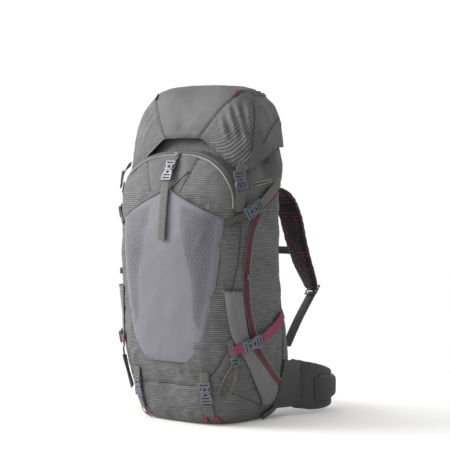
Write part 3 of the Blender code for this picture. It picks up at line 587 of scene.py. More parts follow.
heights = (0.0305, 0.027, 0.022, 0.017, 0.012, 0.008, 0.0045, 0.002, 0.0007, 0.0003)
insets = (0.0, 0.0, 0.0, 0.0, 0.0, 0.0004, 0.0014, 0.0032, 0.0060, 0.0095)
places, cut = [], []
for height, inset in zip(heights, insets):
    angles, length = ring_shares(BODY_ROWS, max(height, 0.001), COLUMNS)
    places.append(skin(BODY_ROWS, angles, np.full(COLUMNS + 1, max(height, 0.001)), -inset)[:-1])
    places[-1][:, 2] = height
    cut.append(np.stack([np.linspace(-length / 2, length / 2, COLUMNS + 1), np.full(COLUMNS + 1, height)], axis=-1))
middle = np.array((0, 0.03, 0.0003))
for share in (0.85, 0.65, 0.42, 0.20):
    places.append(middle + (places[9] - middle) * share)
    cut.append(cut[9] * (share, 1) - (0, 0.1 * (1 - share)))
places, cut = np.array(places)[::-1], np.array(cut)[::-1]
flat = places.reshape(-1, 3)
turned_up = ease(flat[:, 2], 0.001, 0.010) * ease(flat[:, 2], 0.0305, 0.026)
rise = turned_up * (slack(flat, 0.035, 0.0016, 8)
                    + 0.0006 * np.sin(flat[:, 0] * 210) * ease(flat[:, 1], -0.02, -0.05))
moved = flat + grid_normals(places, True).reshape(-1, 3) * rise[:, None]
base_cloth = sewn_shell("base_cloth", moved.reshape(places.shape), cut, closed=True, thickness=0)

bm = bmesh.new()
bm.from_mesh(base_cloth.data)
bm.verts.ensure_lookup_table()
bmesh.ops.contextual_create(bm, geom=[v for v in bm.verts[:COLUMNS]])
bmesh.ops.recalc_face_normals(bm, faces=bm.faces)
bm.to_mesh(base_cloth.data)
bm.free()
wall = base_cloth.modifiers.new("cloth_thickness", "SOLIDIFY")
wall.thickness = CLOTH
wall.offset = -1

base_nylon = ripstop_nylon("abrasion_resistant_nylon", "#777575", "#2c2a2a", rib=0.0026, plain_mark=False)
dressed(base_cloth, base_nylon, "pack", "dark_nylon", "base_panel")


# The snow collar: a light sleeve above the bag, gathered by a drawcord that runs in its hem.
# It hides under the lid, and keeps snow out of the bag when the lid is open.

COLLAR_TOP = 0.633
GATHERS = 44
places, cut = [], []
for height in np.linspace(BAG_TOP - 0.004, COLLAR_TOP, 16):
    share = ease(height, BAG_TOP, COLLAR_TOP)
    angles = np.linspace(math.pi / 2, math.pi / 2 + 2 * math.pi, 529)
    line = skin(BODY_ROWS, angles, np.full(529, height), -0.0022 - 0.004 * share)
    middle = np.array((0, 0.034, height))
    gather = 1 + share * 0.022 * np.sin(GATHERS * angles + 2 * np.sin(3 * angles)) - 0.02 * share
    places.append((middle + (line - middle) * gather[:, None])[:-1])
    cut.append(np.stack([angles * 0.1, np.full(529, height)], axis=-1))
snow_collar = sewn_shell("collar_sleeve", np.array(places), np.array(cut), closed=True, thickness=0.0008)
lining_nylon = ripstop_nylon("light_lining_nylon", "#8a8a8d", "#68686c", rib=0.0050, plain_mark=False)
dressed(snow_collar, lining_nylon, "pack", "plain_nylon", "snow_collar")


def tube(name, points, radius, sides=8, closed=False):
    """A round cord or piping along points, with its UV in metres round and along it."""
    points = np.array(points, float)
    radius = np.broadcast_to(np.array(radius, float), (len(points),))
    if closed:
        tangents = np.roll(points, -1, axis=0) - np.roll(points, 1, axis=0)
    else:
        tangents = np.gradient(points, axis=0)
    tangents /= np.linalg.norm(tangents, axis=1, keepdims=True)
    normal = np.cross(tangents[0], (0.31, 0.52, 0.79))
    reach = 0.0
    rings, runs = [], []
    for i, (point, tangent) in enumerate(zip(points, tangents)):
        normal = normal - tangent * (normal @ tangent)
        normal /= np.linalg.norm(normal)
        other = np.cross(tangent, normal)
        turns = np.linspace(0, 2 * math.pi, sides, endpoint=False)[:, None]
        rings.append(point + radius[i] * (np.cos(turns) * normal + np.sin(turns) * other))
        reach += np.linalg.norm(point - points[i - 1]) if i else 0.0
        runs.append(reach)
    return loft_rings(name, rings, runs, radius.mean() * 2 * math.pi / sides, closed)


def loft_rings(name, rings, runs, step, closed=False):
    """A closed skin over rings of points. The UV runs round each ring by a step and along by the rings' places."""
    bm = bmesh.new()
    layer = bm.loops.layers.uv.new("cut")
    rows = [[bm.verts.new(p) for p in ring] for ring in rings]
    count = len(rows[0])
    pairs = list(zip(range(len(rows) - 1), range(1, len(rows))))
    if closed:
        pairs.append((len(rows) - 1, 0))
    for low, high in pairs:
        top = runs[high] if high else runs[low] + 0.002
        for i in range(count):
            j = (i + 1) % count
            face = bm.faces.new((rows[low][i], rows[low][j], rows[high][j], rows[high][i]))
            for loop, u, v in zip(face.loops, (i, i + 1, i + 1, i), (runs[low], runs[low], top, top)):
                loop[layer].uv = (u * step, v)
    if not closed:
        for row, run in ((rows[0], runs[0]), (rows[-1], runs[-1])):
            face = bm.faces.new(row)
            for loop, i in zip(face.loops, range(count)):
                loop[layer].uv = (i * step, run)
    bmesh.ops.recalc_face_normals(bm, faces=bm.faces)
    mesh = bpy.data.meshes.new(name)
    bm.to_mesh(mesh)
    bm.free()
    mesh.shade_smooth()
    obj = new_object(name, mesh)
    return obj


def woven_cord(name, light, dark):
    """Braided polyester cord: its plaited strands show as fine slanting ribs, about 1.5 mm apart."""
    made, tree, shader = new_material(name, Roughness=0.7, Sheen_Weight=0.1)
    cut = add(tree, "ShaderNodeUVMap", uv_map="cut").outputs[0]
    turned = add(tree, "ShaderNodeMapping", {"Vector": cut, "Rotation": (0, 0, math.radians(40))}).outputs[0]
    ribs = add(tree, "ShaderNodeTexWave", {"Vector": turned, "Scale": 110.0, "Distortion": 0.4}).outputs["Fac"]
    colour = add(tree, "ShaderNodeMix", {0: ribs, 6: linear(dark), 7: linear(light)}, data_type="RGBA").outputs[2]
    tree.links.new(colour, shader.inputs["Base Color"])
    bump = add(tree, "ShaderNodeBump", {"Height": ribs, "Strength": 0.5, "Distance": 0.0003}).outputs[0]
    tree.links.new(bump, shader.inputs["Normal"])
    return made


angles = np.linspace(math.pi / 2, math.pi / 2 + 2 * math.pi, 97)[:-1]
hem = skin(BODY_ROWS, angles, np.full(96, COLLAR_TOP + 0.0004), -0.0090)
drawcord = tube("collar_drawcord", hem, 0.0016, closed=True)
cord_braid = woven_cord("braided_drawcord", "#8a8b86", "#55564f")
dressed(drawcord, cord_braid, "pack", "webbing")


# The front pocket: one piece of stretch mesh, knitted open in two side fields, sewn down on three edges.
# Its peaked top edge is bound with elastic, and stands away from the bag.

POCKET_BOTTOM, POCKET_CORNER, POCKET_PEAK = 0.126, 0.415, 0.476
POCKET_WIDTHS = ((0.126, 0.046), (0.136, 0.063), (0.153, 0.077), (0.175, 0.091), (0.200, 0.098), (0.286, 0.117),
                 (0.363, 0.127), (0.415, 0.131))
POCKET_STAND_OFF = 0.0080
HATCH_INNER = ((0.188, 0.087), (0.220, 0.066), (0.275, 0.068), (0.345, 0.052), (0.410, 0.038))


def pocket_at(u, v, lift=0.0):
    """u runs across from -1 to 1 and v up from 0 to 1; the top edge rises to a peak in the middle."""
    middle = POCKET_BOTTOM + (POCKET_CORNER - POCKET_BOTTOM) * v
    half_width = smooth(POCKET_WIDTHS, middle)
    rise = (POCKET_PEAK - POCKET_CORNER) * (1 - np.abs(u)) * v ** 2
    edge = np.minimum(1 - np.abs(u), 0.08) / 0.08
    stand = (0.0016 + POCKET_STAND_OFF * v * (1 - u ** 4)) * np.sin(edge * math.pi / 2) ** 0.5 - 0.0012 * (1 - edge)
    foot = ease(v, 0.0, 0.05)
    return front_at(u * half_width, middle + rise, stand * (0.3 + 0.7 * foot) + lift)


us = np.sin(np.linspace(-1, 1, 121) * math.pi / 2)
us = 0.35 * us + 0.65 * np.linspace(-1, 1, 121)
vs = np.linspace(0, 1, 131)
U, V = np.meshgrid(us, vs)
places = pocket_at(U, V)
flat = places.reshape(-1, 3)
cut = np.stack([flat[:, 0], flat[:, 2]], axis=-1).reshape(131, 121, 2)
firm = (np.minimum(1 - np.abs(U), 0.1) * 10 * np.minimum(V, 0.05) * 20).ravel()
POCKET_FOLDS = [
    (pocket_at(0.80, 0.93), pocket_at(0.60, 0.70), 0.008, 0.0012),
    (pocket_at(-0.80, 0.93), pocket_at(-0.62, 0.72), 0.008, 0.0012),
    (pocket_at(0.02, 0.97), pocket_at(0.05, 0.72), 0.012, 0.0014),
]
rise = firm * (slack(flat, 0.07, 0.0012, 5) + folded(flat, POCKET_FOLDS))
normals = grid_normals(places, False).reshape(-1, 3)
places = (flat + normals * rise[:, None]).reshape(places.shape)
front_pocket = sewn_shell("stretch_pocket", places, cut, thickness=0.0014)

inner = smooth(HATCH_INNER, flat[:, 2])
outer = smooth(POCKET_WIDTHS, flat[:, 2]) - 0.009
across = np.abs(flat[:, 0])
hatch = np.minimum(across - inner, outer - across)
hatch = np.minimum(hatch, np.minimum(flat[:, 2] - 0.186, 0.424 - flat[:, 2] + 0.28 * (0.12 - across)))
mark(front_pocket, "open_knit", hatch)


def stretch_knit(name, light, shade, gap):
    """Nylon and elastane stretch mesh, warp knitted: fine slanting wales, and dark slots where it is knitted open.

    The slots are 4.7 mm apart and lean out and up on both sides, so the pattern reads the distance from the middle.
    """
    made, tree, shader = new_material(name, Roughness=0.55, Sheen_Weight=0.25, Sheen_Roughness=0.35)
    shader.inputs["Specular IOR Level"].default_value = 0.4
    cut = add(tree, "ShaderNodeUVMap", uv_map="cut").outputs[0]
    split = add(tree, "ShaderNodeSeparateXYZ", {0: cut}).outputs
    across = add(tree, "ShaderNodeMath", {0: split[0]}, operation="ABSOLUTE").outputs[0]

    def slanting(slope, pitch, wander):
        shifted = add(tree, "ShaderNodeMath", {0: across, 1: slope, 2: split[1]}, operation="MULTIPLY_ADD").outputs[0]
        bent = add(tree, "ShaderNodeMath", {0: wander, 1: 0.0012, 2: shifted}, operation="MULTIPLY_ADD").outputs[0]
        turn = add(tree, "ShaderNodeMath", {0: bent, 1: 2 * math.pi / pitch}, operation="MULTIPLY").outputs[0]
        return add(tree, "ShaderNodeMath", {0: turn}, operation="SINE").outputs[0]

    place = add(tree, "ShaderNodeTexCoord").outputs["Object"]
    wander = add(tree, "ShaderNodeTexNoise", {"Vector": place, "Scale": 30.0, "Detail": 2.0}).outputs[0]
    slots = slanting(0.50, 0.0047, wander)
    wales = slanting(0.22, 0.0024, wander)
    edge = add(tree, "ShaderNodeAttribute", attribute_name="open_knit").outputs["Fac"]
    field = add(tree, "ShaderNodeMapRange", {0: edge, 1: 0.0, 2: 0.006, 3: 0.0, 4: 1.0}).outputs[0]
    cover = add(tree, "ShaderNodeMapRange", {0: edge, 1: 0.0, 2: 0.018, 3: 0.75, 4: 0.05}).outputs[0]
    slot_low = add(tree, "ShaderNodeMath", {0: cover, 1: 0.28}, operation="ADD").outputs[0]
    open_slot = add(tree, "ShaderNodeMapRange", {0: slots, 1: cover, 2: slot_low}).outputs[0]
    open_slot = add(tree, "ShaderNodeMath", {0: open_slot, 1: field}, operation="MULTIPLY").outputs[0]
    wale_tone = add(tree, "ShaderNodeMapRange", {0: wales, 1: -1.0, 2: 1.0, 3: 0.25, 4: 1.0}).outputs[0]
    base = add(tree, "ShaderNodeMix", {0: wale_tone, 6: linear(shade), 7: linear(light)}, data_type="RGBA").outputs[2]
    colour = add(tree, "ShaderNodeMix", {0: open_slot, 6: base, 7: linear(gap)}, data_type="RGBA").outputs[2]
    tree.links.new(colour, shader.inputs["Base Color"])
    height = add(tree, "ShaderNodeMath", {0: open_slot, 1: -2.0, 2: wale_tone}, operation="MULTIPLY_ADD").outputs[0]
    bump = add(tree, "ShaderNodeBump", {"Height": height, "Strength": 0.5, "Distance": 0.0004}).outputs[0]
    tree.links.new(bump, shader.inputs["Normal"])
    return made


stretch_mesh = stretch_knit("stretch_knit_mesh", "#6f6e75", "#5d5c63", "#26252b")
dressed(front_pocket, stretch_mesh, "pack", "stretch_mesh", "front_pocket")


def binding_tape(name, light, dark):
    """Folded nylon binding tape, ribbed across every 1.4 mm."""
    made, tree, shader = new_material(name, Roughness=0.65, Sheen_Weight=0.1)
    cut = add(tree, "ShaderNodeUVMap", uv_map="cut").outputs[0]
    split = add(tree, "ShaderNodeSeparateXYZ", {0: cut}).outputs
    turn = add(tree, "ShaderNodeMath", {0: split[1], 1: 2 * math.pi / 0.0014}, operation="MULTIPLY").outputs[0]
    ribs = add(tree, "ShaderNodeMath", {0: turn}, operation="SINE").outputs[0]
    tone = add(tree, "ShaderNodeMapRange", {0: ribs, 1: -1.0, 2: 1.0}).outputs[0]
    colour = add(tree, "ShaderNodeMix", {0: tone, 6: linear(dark), 7: linear(light)}, data_type="RGBA").outputs[2]
    tree.links.new(colour, shader.inputs["Base Color"])
    bump = add(tree, "ShaderNodeBump", {"Height": tone, "Strength": 0.4, "Distance": 0.0003}).outputs[0]
    tree.links.new(bump, shader.inputs["Normal"])
    return made


rim = places[-1]
hem = evenly(rim[::6] + np.array((0, -0.0002, 0.0002)), 96)
pocket_hem = tube("pocket_elastic_hem", hem, 0.0017)
grey_binding = binding_tape("grey_binding_tape", "#605f65", "#4a494f")
dressed(pocket_hem, grey_binding, "pack", "stretch_mesh")

edge_left = np.array([place for place in places[::5, 0]])
edge_right = np.array([place for place in places[::5, -1]])
foot = places[0, ::6]
outline = np.vstack([edge_left[::-1], foot[1:-1], edge_right])
outline = outline + np.array((0, -0.0003, 0))
pocket_piping = tube("pocket_edge_piping", evenly(outline, 150), 0.0011, sides=6)
dark_binding = binding_tape("dark_binding_tape", "#484749", "#302f31")
dressed(pocket_piping, dark_binding, "pack", "stretch_mesh")


# The side pockets: plain stretch cloth for a bottle, bound along the mouth, sewn into the bag's side seams.
# The bottom is deep at the front, and narrows to the rear beside the zip.

SIDE_POCKET_FRONT = ((0.034, 0.050), (0.077, 0.009), (0.105, -0.012), (0.143, -0.037), (0.175, -0.056),
                     (0.220, -0.066), (0.272, -0.072))
SIDE_POCKET_REAR = ((0.034, 0.096), (0.072, 0.080), (0.102, 0.040), (0.140, -0.003), (0.160, -0.018), (0.200, -0.032),
                    (0.272, -0.045))


def side_pocket_at(u, v):
    """u runs back from 0 to 1 and v up from 0 to 1."""
    height = SIDE_POCKET_FRONT[0][0] + v * (SIDE_POCKET_FRONT[-1][0] - SIDE_POCKET_FRONT[0][0])
    front, rear = smooth(SIDE_POCKET_FRONT, height), smooth(SIDE_POCKET_REAR, height)
    stand = 0.0016 + 0.0058 * v * np.sqrt(np.maximum(4 * u * (1 - u), 0)) - 0.0016 * ease(v, 0.03, 0.0)
    return side_at(front + u * (rear - front), height, stand)


U, V = np.meshgrid(np.linspace(0, 1, 41), np.linspace(0, 1, 101))
places = side_pocket_at(U, V)
flat = places.reshape(-1, 3)
firm = (np.minimum(np.minimum(U, 1 - U), 0.12) / 0.12 * np.minimum(V, 0.06) / 0.06).ravel()
SIDE_POCKET_FOLDS = [
    (side_pocket_at(0.15, 0.62), side_pocket_at(0.9, 0.50), 0.006, 0.0014),
    (side_pocket_at(0.10, 0.36), side_pocket_at(0.9, 0.30), 0.006, 0.0012),
    (side_pocket_at(0.35, 0.95), side_pocket_at(0.45, 0.66), 0.005, -0.0012),
]
rise = firm * (slack(flat, 0.05, 0.0013, 11) + folded(flat, SIDE_POCKET_FOLDS))
normals = grid_normals(places, False).reshape(-1, 3)
right_places = (flat + normals * rise[:, None]).reshape(places.shape)
cut = np.stack([flat[:, 1], flat[:, 2]], axis=-1).reshape(101, 41, 2)
side_stretch = stretch_knit("plain_stretch_cloth", "#676667", "#5a595a", "#343334")
for label in ("left", "right"):
    if label == "right":
        here, flat_cut = right_places, cut
    else:
        here, flat_cut = mirrored(right_places)[:, ::-1], cut[:, ::-1]
    pocket = sewn_shell(f"bottle_pocket_{label}", here, flat_cut, thickness=0.0014)
    dressed(pocket, side_stretch, "pack", "side_stretch", f"side_pocket_{label}")
    mouth = tube(f"bottle_pocket_hem_{label}", evenly(here[-1][::4], 40), 0.0016)
    dressed(mouth, grey_binding, "pack", "side_stretch")
    fore_line = evenly(here[::5, 0 if label == "right" else -1], 60)
    front_edge = tube(f"bottle_pocket_piping_{label}", fore_line, 0.0011, 6)
    dressed(front_edge, dark_binding, "pack", "side_stretch")


# The lid: a domed pocket of coated nylon over the bag's mouth, cut as a plain centre and ripstop shoulders.
# Its edge dips to a point at each front corner, where the lid straps pull it down.

LID_ROWS = np.array((  # height, half width, front and back
    (0.500, 0.180, -0.045, 0.100),
    (0.520, 0.178, -0.044, 0.101),
    (0.550, 0.174, -0.042, 0.102),
    (0.578, 0.168, -0.040, 0.103),
    (0.600, 0.163, -0.036, 0.104),
    (0.640, 0.149, -0.022, 0.101),
    (0.662, 0.131, -0.010, 0.088),
    (0.676, 0.113, 0.002, 0.073),
    (0.684, 0.089, 0.014, 0.060),
))
LID_EDGE = ((0, 0.579), (26, 0.578), (45, 0.550), (60, 0.516), (66, 0.511), (78, 0.537), (95, 0.560), (180, 0.566))
LID_LEVEL = 0.604
LID_CROWN = np.array((0.0, 0.037, 0.6885))
LID_THICKNESS = 0.0016

LID_COLUMNS = 264
angles = ring_shares(LID_ROWS, 0.60, LID_COLUMNS)[0][:-1]
turn = np.abs((np.degrees(angles) + 90 + 180) % 360 - 180)
edge = smooth(LID_EDGE, turn)
places = [skin(LID_ROWS, angles, edge + share * (LID_LEVEL - edge)) for share in np.linspace(0, 1, 34)]
for height in (0.6075, 0.611, 0.6145, 0.618, 0.6215, 0.625, 0.6285, 0.632, 0.6355, 0.639, 0.6425, 0.646, 0.6495, 0.653,
               0.656, 0.659, 0.662, 0.6645, 0.667, 0.6695, 0.672, 0.674, 0.676, 0.678, 0.680, 0.682, 0.684):
    places.append(skin(LID_ROWS, angles, np.full(LID_COLUMNS, height)))
rim_of_crown = places[-1]
for share in np.linspace(0.93, 0.05, 22):
    ring = LID_CROWN + (rim_of_crown - LID_CROWN) * share
    ring[:, 2] = 0.684 + (LID_CROWN[2] - 0.684) * (1 - share ** 2.2)
    places.append(ring)
places = np.array(places)
flat = places.reshape(-1, 3)

LID_SEAM = ((0.043, -0.039, 0.579), (0.058, -0.036, 0.597), (0.071, -0.029, 0.618), (0.084, -0.019, 0.637),
            (0.098, -0.007, 0.653), (0.107, 0.006, 0.665))
LID_REAR_SEAM = ((0.155, -0.014, 0.550), (0.154, -0.003, 0.589), (0.147, 0.009, 0.626), (0.137, 0.019, 0.650))
LID_SIDE_SEAM = ((0.172, 0.010, 0.566), (0.169, 0.030, 0.585), (0.163, 0.055, 0.606), (0.156, 0.080, 0.616))
LID_TOP_SEAM = ((0.107, 0.006, 0.665), (0.112, 0.020, 0.668), (0.116, 0.040, 0.670), (0.112, 0.062, 0.668))


def onto(points, surface):
    """Each point moved to the nearest place of a surface."""
    points = np.array(points)
    return np.array([surface[np.argmin(((surface - p) ** 2).sum(axis=1))] for p in points])


lid_seams = []
for route in (LID_SEAM, LID_REAR_SEAM, LID_SIDE_SEAM, LID_TOP_SEAM):
    line = evenly(onto(evenly(route, 12), flat), 30)
    lid_seams += [line, mirrored(line)]
LID_FOLDS = [  # on the right; start, end, half width, height
    ((0.101, -0.020, 0.640), (0.128, -0.026, 0.583), 0.0065, 0.0042),
    ((0.116, -0.010, 0.646), (0.148, -0.012, 0.560), 0.0060, 0.0046),
    ((0.132, 0.004, 0.648), (0.152, -0.010, 0.585), 0.0055, 0.0040),
    ((0.090, -0.028, 0.618), (0.112, -0.034, 0.575), 0.0060, 0.0030),
    ((0.109, -0.017, 0.640), (0.139, -0.022, 0.572), 0.0045, -0.0030),
    ((0.124, -0.004, 0.648), (0.150, -0.012, 0.575), 0.0042, -0.0028),
    ((0.138, 0.030, 0.655), (0.166, 0.050, 0.600), 0.0090, 0.0026),
    ((0.150, 0.010, 0.610), (0.168, 0.015, 0.570), 0.0070, 0.0024),
    ((0.155, 0.060, 0.630), (0.165, 0.085, 0.600), 0.0080, 0.0022),
    ((0.160, -0.002, 0.548), (0.172, 0.040, 0.578), 0.0060, 0.0030),
]
lid_folds = []
for index, (start, end, half_width, height) in enumerate(LID_FOLDS):
    height *= 1.35
    start, end = onto([start, end], flat)
    lid_folds.append((start, end, half_width, height))
    lid_folds.append((mirrored(start), mirrored(end), half_width, height * (0.45 if index < 6 else 0.9)))
LID_CENTRE_FOLDS = [
    ((-0.030, -0.030, 0.612), (-0.010, -0.034, 0.590), 0.008, 0.0012),
    ((0.030, -0.028, 0.616), (0.012, -0.034, 0.588), 0.009, 0.0012),
]
lid_folds += [(np.array(a), np.array(b), width, height) for a, b, width, height in LID_CENTRE_FOLDS]
for start, end in (((-0.060, 0.098, 0.640), (-0.040, 0.104, 0.590)), ((0.070, 0.098, 0.640), (0.050, 0.104, 0.590))):
    start, end = onto([start, end], flat)
    lid_folds.append((start, end, 0.010, 0.0020))

loose = np.repeat(ease(np.linspace(0, 1, len(places)), 0.0, 0.06), LID_COLUMNS)
rise = pressed_in(flat, lid_seams) + loose * (folded(flat, lid_folds) + slack(flat, 0.07, 0.0020, 21))
edge_wave = np.repeat(1 - ease(np.linspace(0, 1, len(places)), 0.0, 0.14), LID_COLUMNS)
rise -= edge_wave * (0.0012 + 0.0006 * np.sin(np.tile(angles, len(places)) * 61))
normals = grid_normals(places, True).reshape(-1, 3)
lid_surface = (flat + normals * rise[:, None]).reshape(places.shape)
reach = np.concatenate(([0], np.cumsum(np.linalg.norm(np.diff(places[:, 0], axis=0), axis=1))))
around = np.linspace(-0.43, 0.43, LID_COLUMNS + 1)
cut = np.stack(np.broadcast_arrays(around[None, :], reach[:, None]), axis=-1)
lid_cloth = sewn_shell("lid_cloth", lid_surface, cut, closed=True, pole=LID_CROWN, thickness=LID_THICKNESS)

seam_x = np.interp(flat[:, 2], [p[2] for p in LID_SEAM], [p[0] for p in LID_SEAM])
rear_y = np.interp(flat[:, 2], [p[2] for p in LID_REAR_SEAM], [p[1] for p in LID_REAR_SEAM])
centre = np.minimum(seam_x - np.abs(flat[:, 0]), 0.030 - flat[:, 1])
centre = np.maximum(centre, np.minimum(flat[:, 2] - 0.6655, 0.1))
plain = np.maximum(centre, flat[:, 1] - rear_y)
mark(lid_cloth, "plain", np.append(plain, 1.0))

lid_nylon = ripstop_nylon("lid_ripstop_nylon", NYLON_LIGHT, NYLON_DARK, rib=0.0036, turn=math.radians(-24))
dressed(lid_cloth, lid_nylon, "lid", "plain_nylon", "lid_cover")
frame["nodes"]["lid_floor"].data.materials.clear()
frame["nodes"]["lid_floor"].data.materials.append(None)


def object_weave(name, light, dark, pitch=0.0012):
    """Plain-woven lining nylon on a flat part, drawn from its place because it has no cut of its own."""
    made, tree, shader = new_material(name, Roughness=0.6, Sheen_Weight=0.1)
    place = add(tree, "ShaderNodeTexCoord").outputs["Object"]
    split = add(tree, "ShaderNodeSeparateXYZ", {0: place}).outputs
    waves = []
    for axis in (0, 1):
        turn = add(tree, "ShaderNodeMath", {0: split[axis], 1: 2 * math.pi / pitch}, operation="MULTIPLY").outputs[0]
        waves.append(add(tree, "ShaderNodeMath", {0: turn}, operation="SINE").outputs[0])
    weave = add(tree, "ShaderNodeMath", {0: waves[0], 1: waves[1]}, operation="MULTIPLY").outputs[0]
    tone = add(tree, "ShaderNodeMapRange", {0: weave, 1: -1.0, 2: 1.0}).outputs[0]
    colour = add(tree, "ShaderNodeMix", {0: tone, 6: linear(dark), 7: linear(light)}, data_type="RGBA").outputs[2]
    tree.links.new(colour, shader.inputs["Base Color"])
    bump = add(tree, "ShaderNodeBump", {"Height": tone, "Strength": 0.4, "Distance": 0.0002}).outputs[0]
    tree.links.new(bump, shader.inputs["Normal"])
    return made


def paint(node, surface):
    """Gives a CAD node that stays in view its material."""
    slots = frame["nodes"][node].material_slots
    for slot in slots:
        slot.material = surface


pocket_lining = object_weave("plain_woven_lining", "#86868a", "#66666a")
frame["nodes"]["lid_floor"].data.materials[0] = pocket_lining

rim = lid_surface[0]
normals_round = grid_normals(places, True)[0]
hem = rim - normals_round * 0.0008
lid_binding = tube("lid_edge_binding", hem[::2], 0.0015, closed=True)
dressed(lid_binding, dark_binding, "lid", "plain_nylon")


# Zips: a nylon coil on a woven tape. The arch zip lets down the bag's front, and is edged with pale piping.
# Each side zip is a burgundy coil with a grey-green piping behind it, and the lid's zip runs round its back.

def row_tree():
    """Small round-ended pieces at an even pitch along a line, each turned to lie along it and off the cloth."""
    tree = bpy.data.node_groups.new("pieces_along_a_line", "GeometryNodeTree")
    for name, kind in (("Line", "Geometry"), ("Pitch", "Float"), ("Length", "Float"), ("Width", "Float"),
                       ("Height", "Float"), ("Finish", "Material")):
        tree.interface.new_socket(name, in_out="INPUT", socket_type=f"NodeSocket{kind}")
    tree.interface.new_socket("Pieces", in_out="OUTPUT", socket_type="NodeSocketGeometry")
    given = add(tree, "NodeGroupInput").outputs
    curve = add(tree, "GeometryNodeMeshToCurve", {"Mesh": given["Line"]}).outputs[0]
    steps = add(tree, "GeometryNodeResampleCurve", {"Curve": curve, "Length": given["Pitch"]},
                mode="LENGTH").outputs[0]
    outward = add(tree, "GeometryNodeInputNamedAttribute", {"Name": "outward"}, data_type="FLOAT_VECTOR").outputs[0]
    tangent = add(tree, "GeometryNodeInputTangent").outputs[0]
    aimed = add(tree, "FunctionNodeAlignRotationToVector", {"Vector": tangent}, axis="X").outputs[0]
    turned = add(tree, "FunctionNodeAlignRotationToVector", {"Rotation": aimed, "Vector": outward}, axis="Z",
                 pivot_axis="X").outputs[0]
    piece = add(tree, "GeometryNodeMeshUVSphere", {"Segments": 6, "Rings": 4, "Radius": 0.5}).outputs[0]
    size = add(tree, "ShaderNodeCombineXYZ", {0: given["Length"], 1: given["Width"], 2: given["Height"]}).outputs[0]
    placed = add(tree, "GeometryNodeInstanceOnPoints", {"Points": steps, "Instance": piece, "Rotation": turned,
                                                        "Scale": size}).outputs[0]
    real = add(tree, "GeometryNodeRealizeInstances", {0: placed}).outputs[0]
    done = add(tree, "GeometryNodeSetMaterial", {"Geometry": real, "Material": given["Finish"]}).outputs[0]
    add(tree, "NodeGroupOutput", {"Pieces": done})
    return tree


piece_row = row_tree()


def row_of(name, lines, finish, pitch, length, width, height):
    """One mesh of small pieces along lines, each line a pair of points and outward directions."""
    verts, edges, outs = [], [], []
    for points, outward in lines:
        first = len(verts)
        verts += [list(p) for p in points]
        outs += [list(n) for n in outward]
        edges += [(first + i, first + i + 1) for i in range(len(points) - 1)]
    mesh = bpy.data.meshes.new(name)
    mesh.from_pydata(verts, edges, [])
    mesh.attributes.new("outward", "FLOAT_VECTOR", "POINT").data.foreach_set("vector", np.array(outs).ravel())
    obj = new_object(name, mesh)
    modifier = obj.modifiers.new("row", "NODES")
    modifier.node_group = piece_row
    sizes = {"Pitch": pitch, "Length": length, "Width": width, "Height": height, "Finish": finish}
    for item in piece_row.interface.items_tree:
        if item.in_out == "INPUT" and item.name in sizes:
            modifier[item.identifier] = sizes[item.name]
    made = bpy.data.meshes.new_from_object(obj.evaluated_get(bpy.context.evaluated_depsgraph_get()))
    obj.modifiers.clear()
    obj.data = made
    made.name = name
    made.shade_smooth()
    return obj


def band(name, points, outward, width, thickness, crown=0.0):
    """Flat tape or webbing along points, its face turned outward, its edges rounded. UV in metres."""
    points, outward = np.array(points, float), np.array(outward, float)
    outward = np.broadcast_to(outward, points.shape)
    widths = np.broadcast_to(np.array(width, float), (len(points),))
    tangents = np.gradient(points, axis=0)
    tangents /= np.linalg.norm(tangents, axis=1, keepdims=True)
    across = np.cross(tangents, outward)
    across /= np.linalg.norm(across, axis=1, keepdims=True)
    up = np.cross(across, tangents)
    t = thickness / 2
    profile = [(-0.5, -0.4), (-0.47, -1), (0, -1), (0.47, -1), (0.5, -0.4), (0.5, 0.4), (0.47, 1), (0.25, 1),
               (0, 1), (-0.25, 1), (-0.47, 1), (-0.5, 0.4)]
    rings = []
    for point, side, lift, wide in zip(points, across, up, widths):
        ring = [point + side * (a * wide) + lift * (b * t + crown * (1 - 4 * a * a) * (b > 0)) for a, b in profile]
        rings.append(ring)
    reach = np.concatenate(([0], np.cumsum(np.linalg.norm(np.diff(points, axis=0), axis=1))))
    bm = bmesh.new()
    layer = bm.loops.layers.uv.new("cut")
    rows = [[bm.verts.new(p) for p in ring] for ring in rings]
    count = len(profile)
    for k in range(len(rows) - 1):
        for i in range(count):
            j = (i + 1) % count
            face = bm.faces.new((rows[k][i], rows[k][j], rows[k + 1][j], rows[k + 1][i]))
            for loop, (a, b) in zip(face.loops, ((i, k), (j, k), (j, k + 1), (i, k + 1))):
                loop[layer].uv = (profile[a][0] * widths[b], reach[b])
    for row in (rows[0], rows[-1]):
        bm.faces.new(row)
    bmesh.ops.recalc_face_normals(bm, faces=bm.faces)
    mesh = bpy.data.meshes.new(name)
    bm.to_mesh(mesh)
    bm.free()
    mesh.shade_smooth()
    mesh.set_sharp_from_angle(angle=math.radians(50))
    obj = new_object(name, mesh)
    return obj


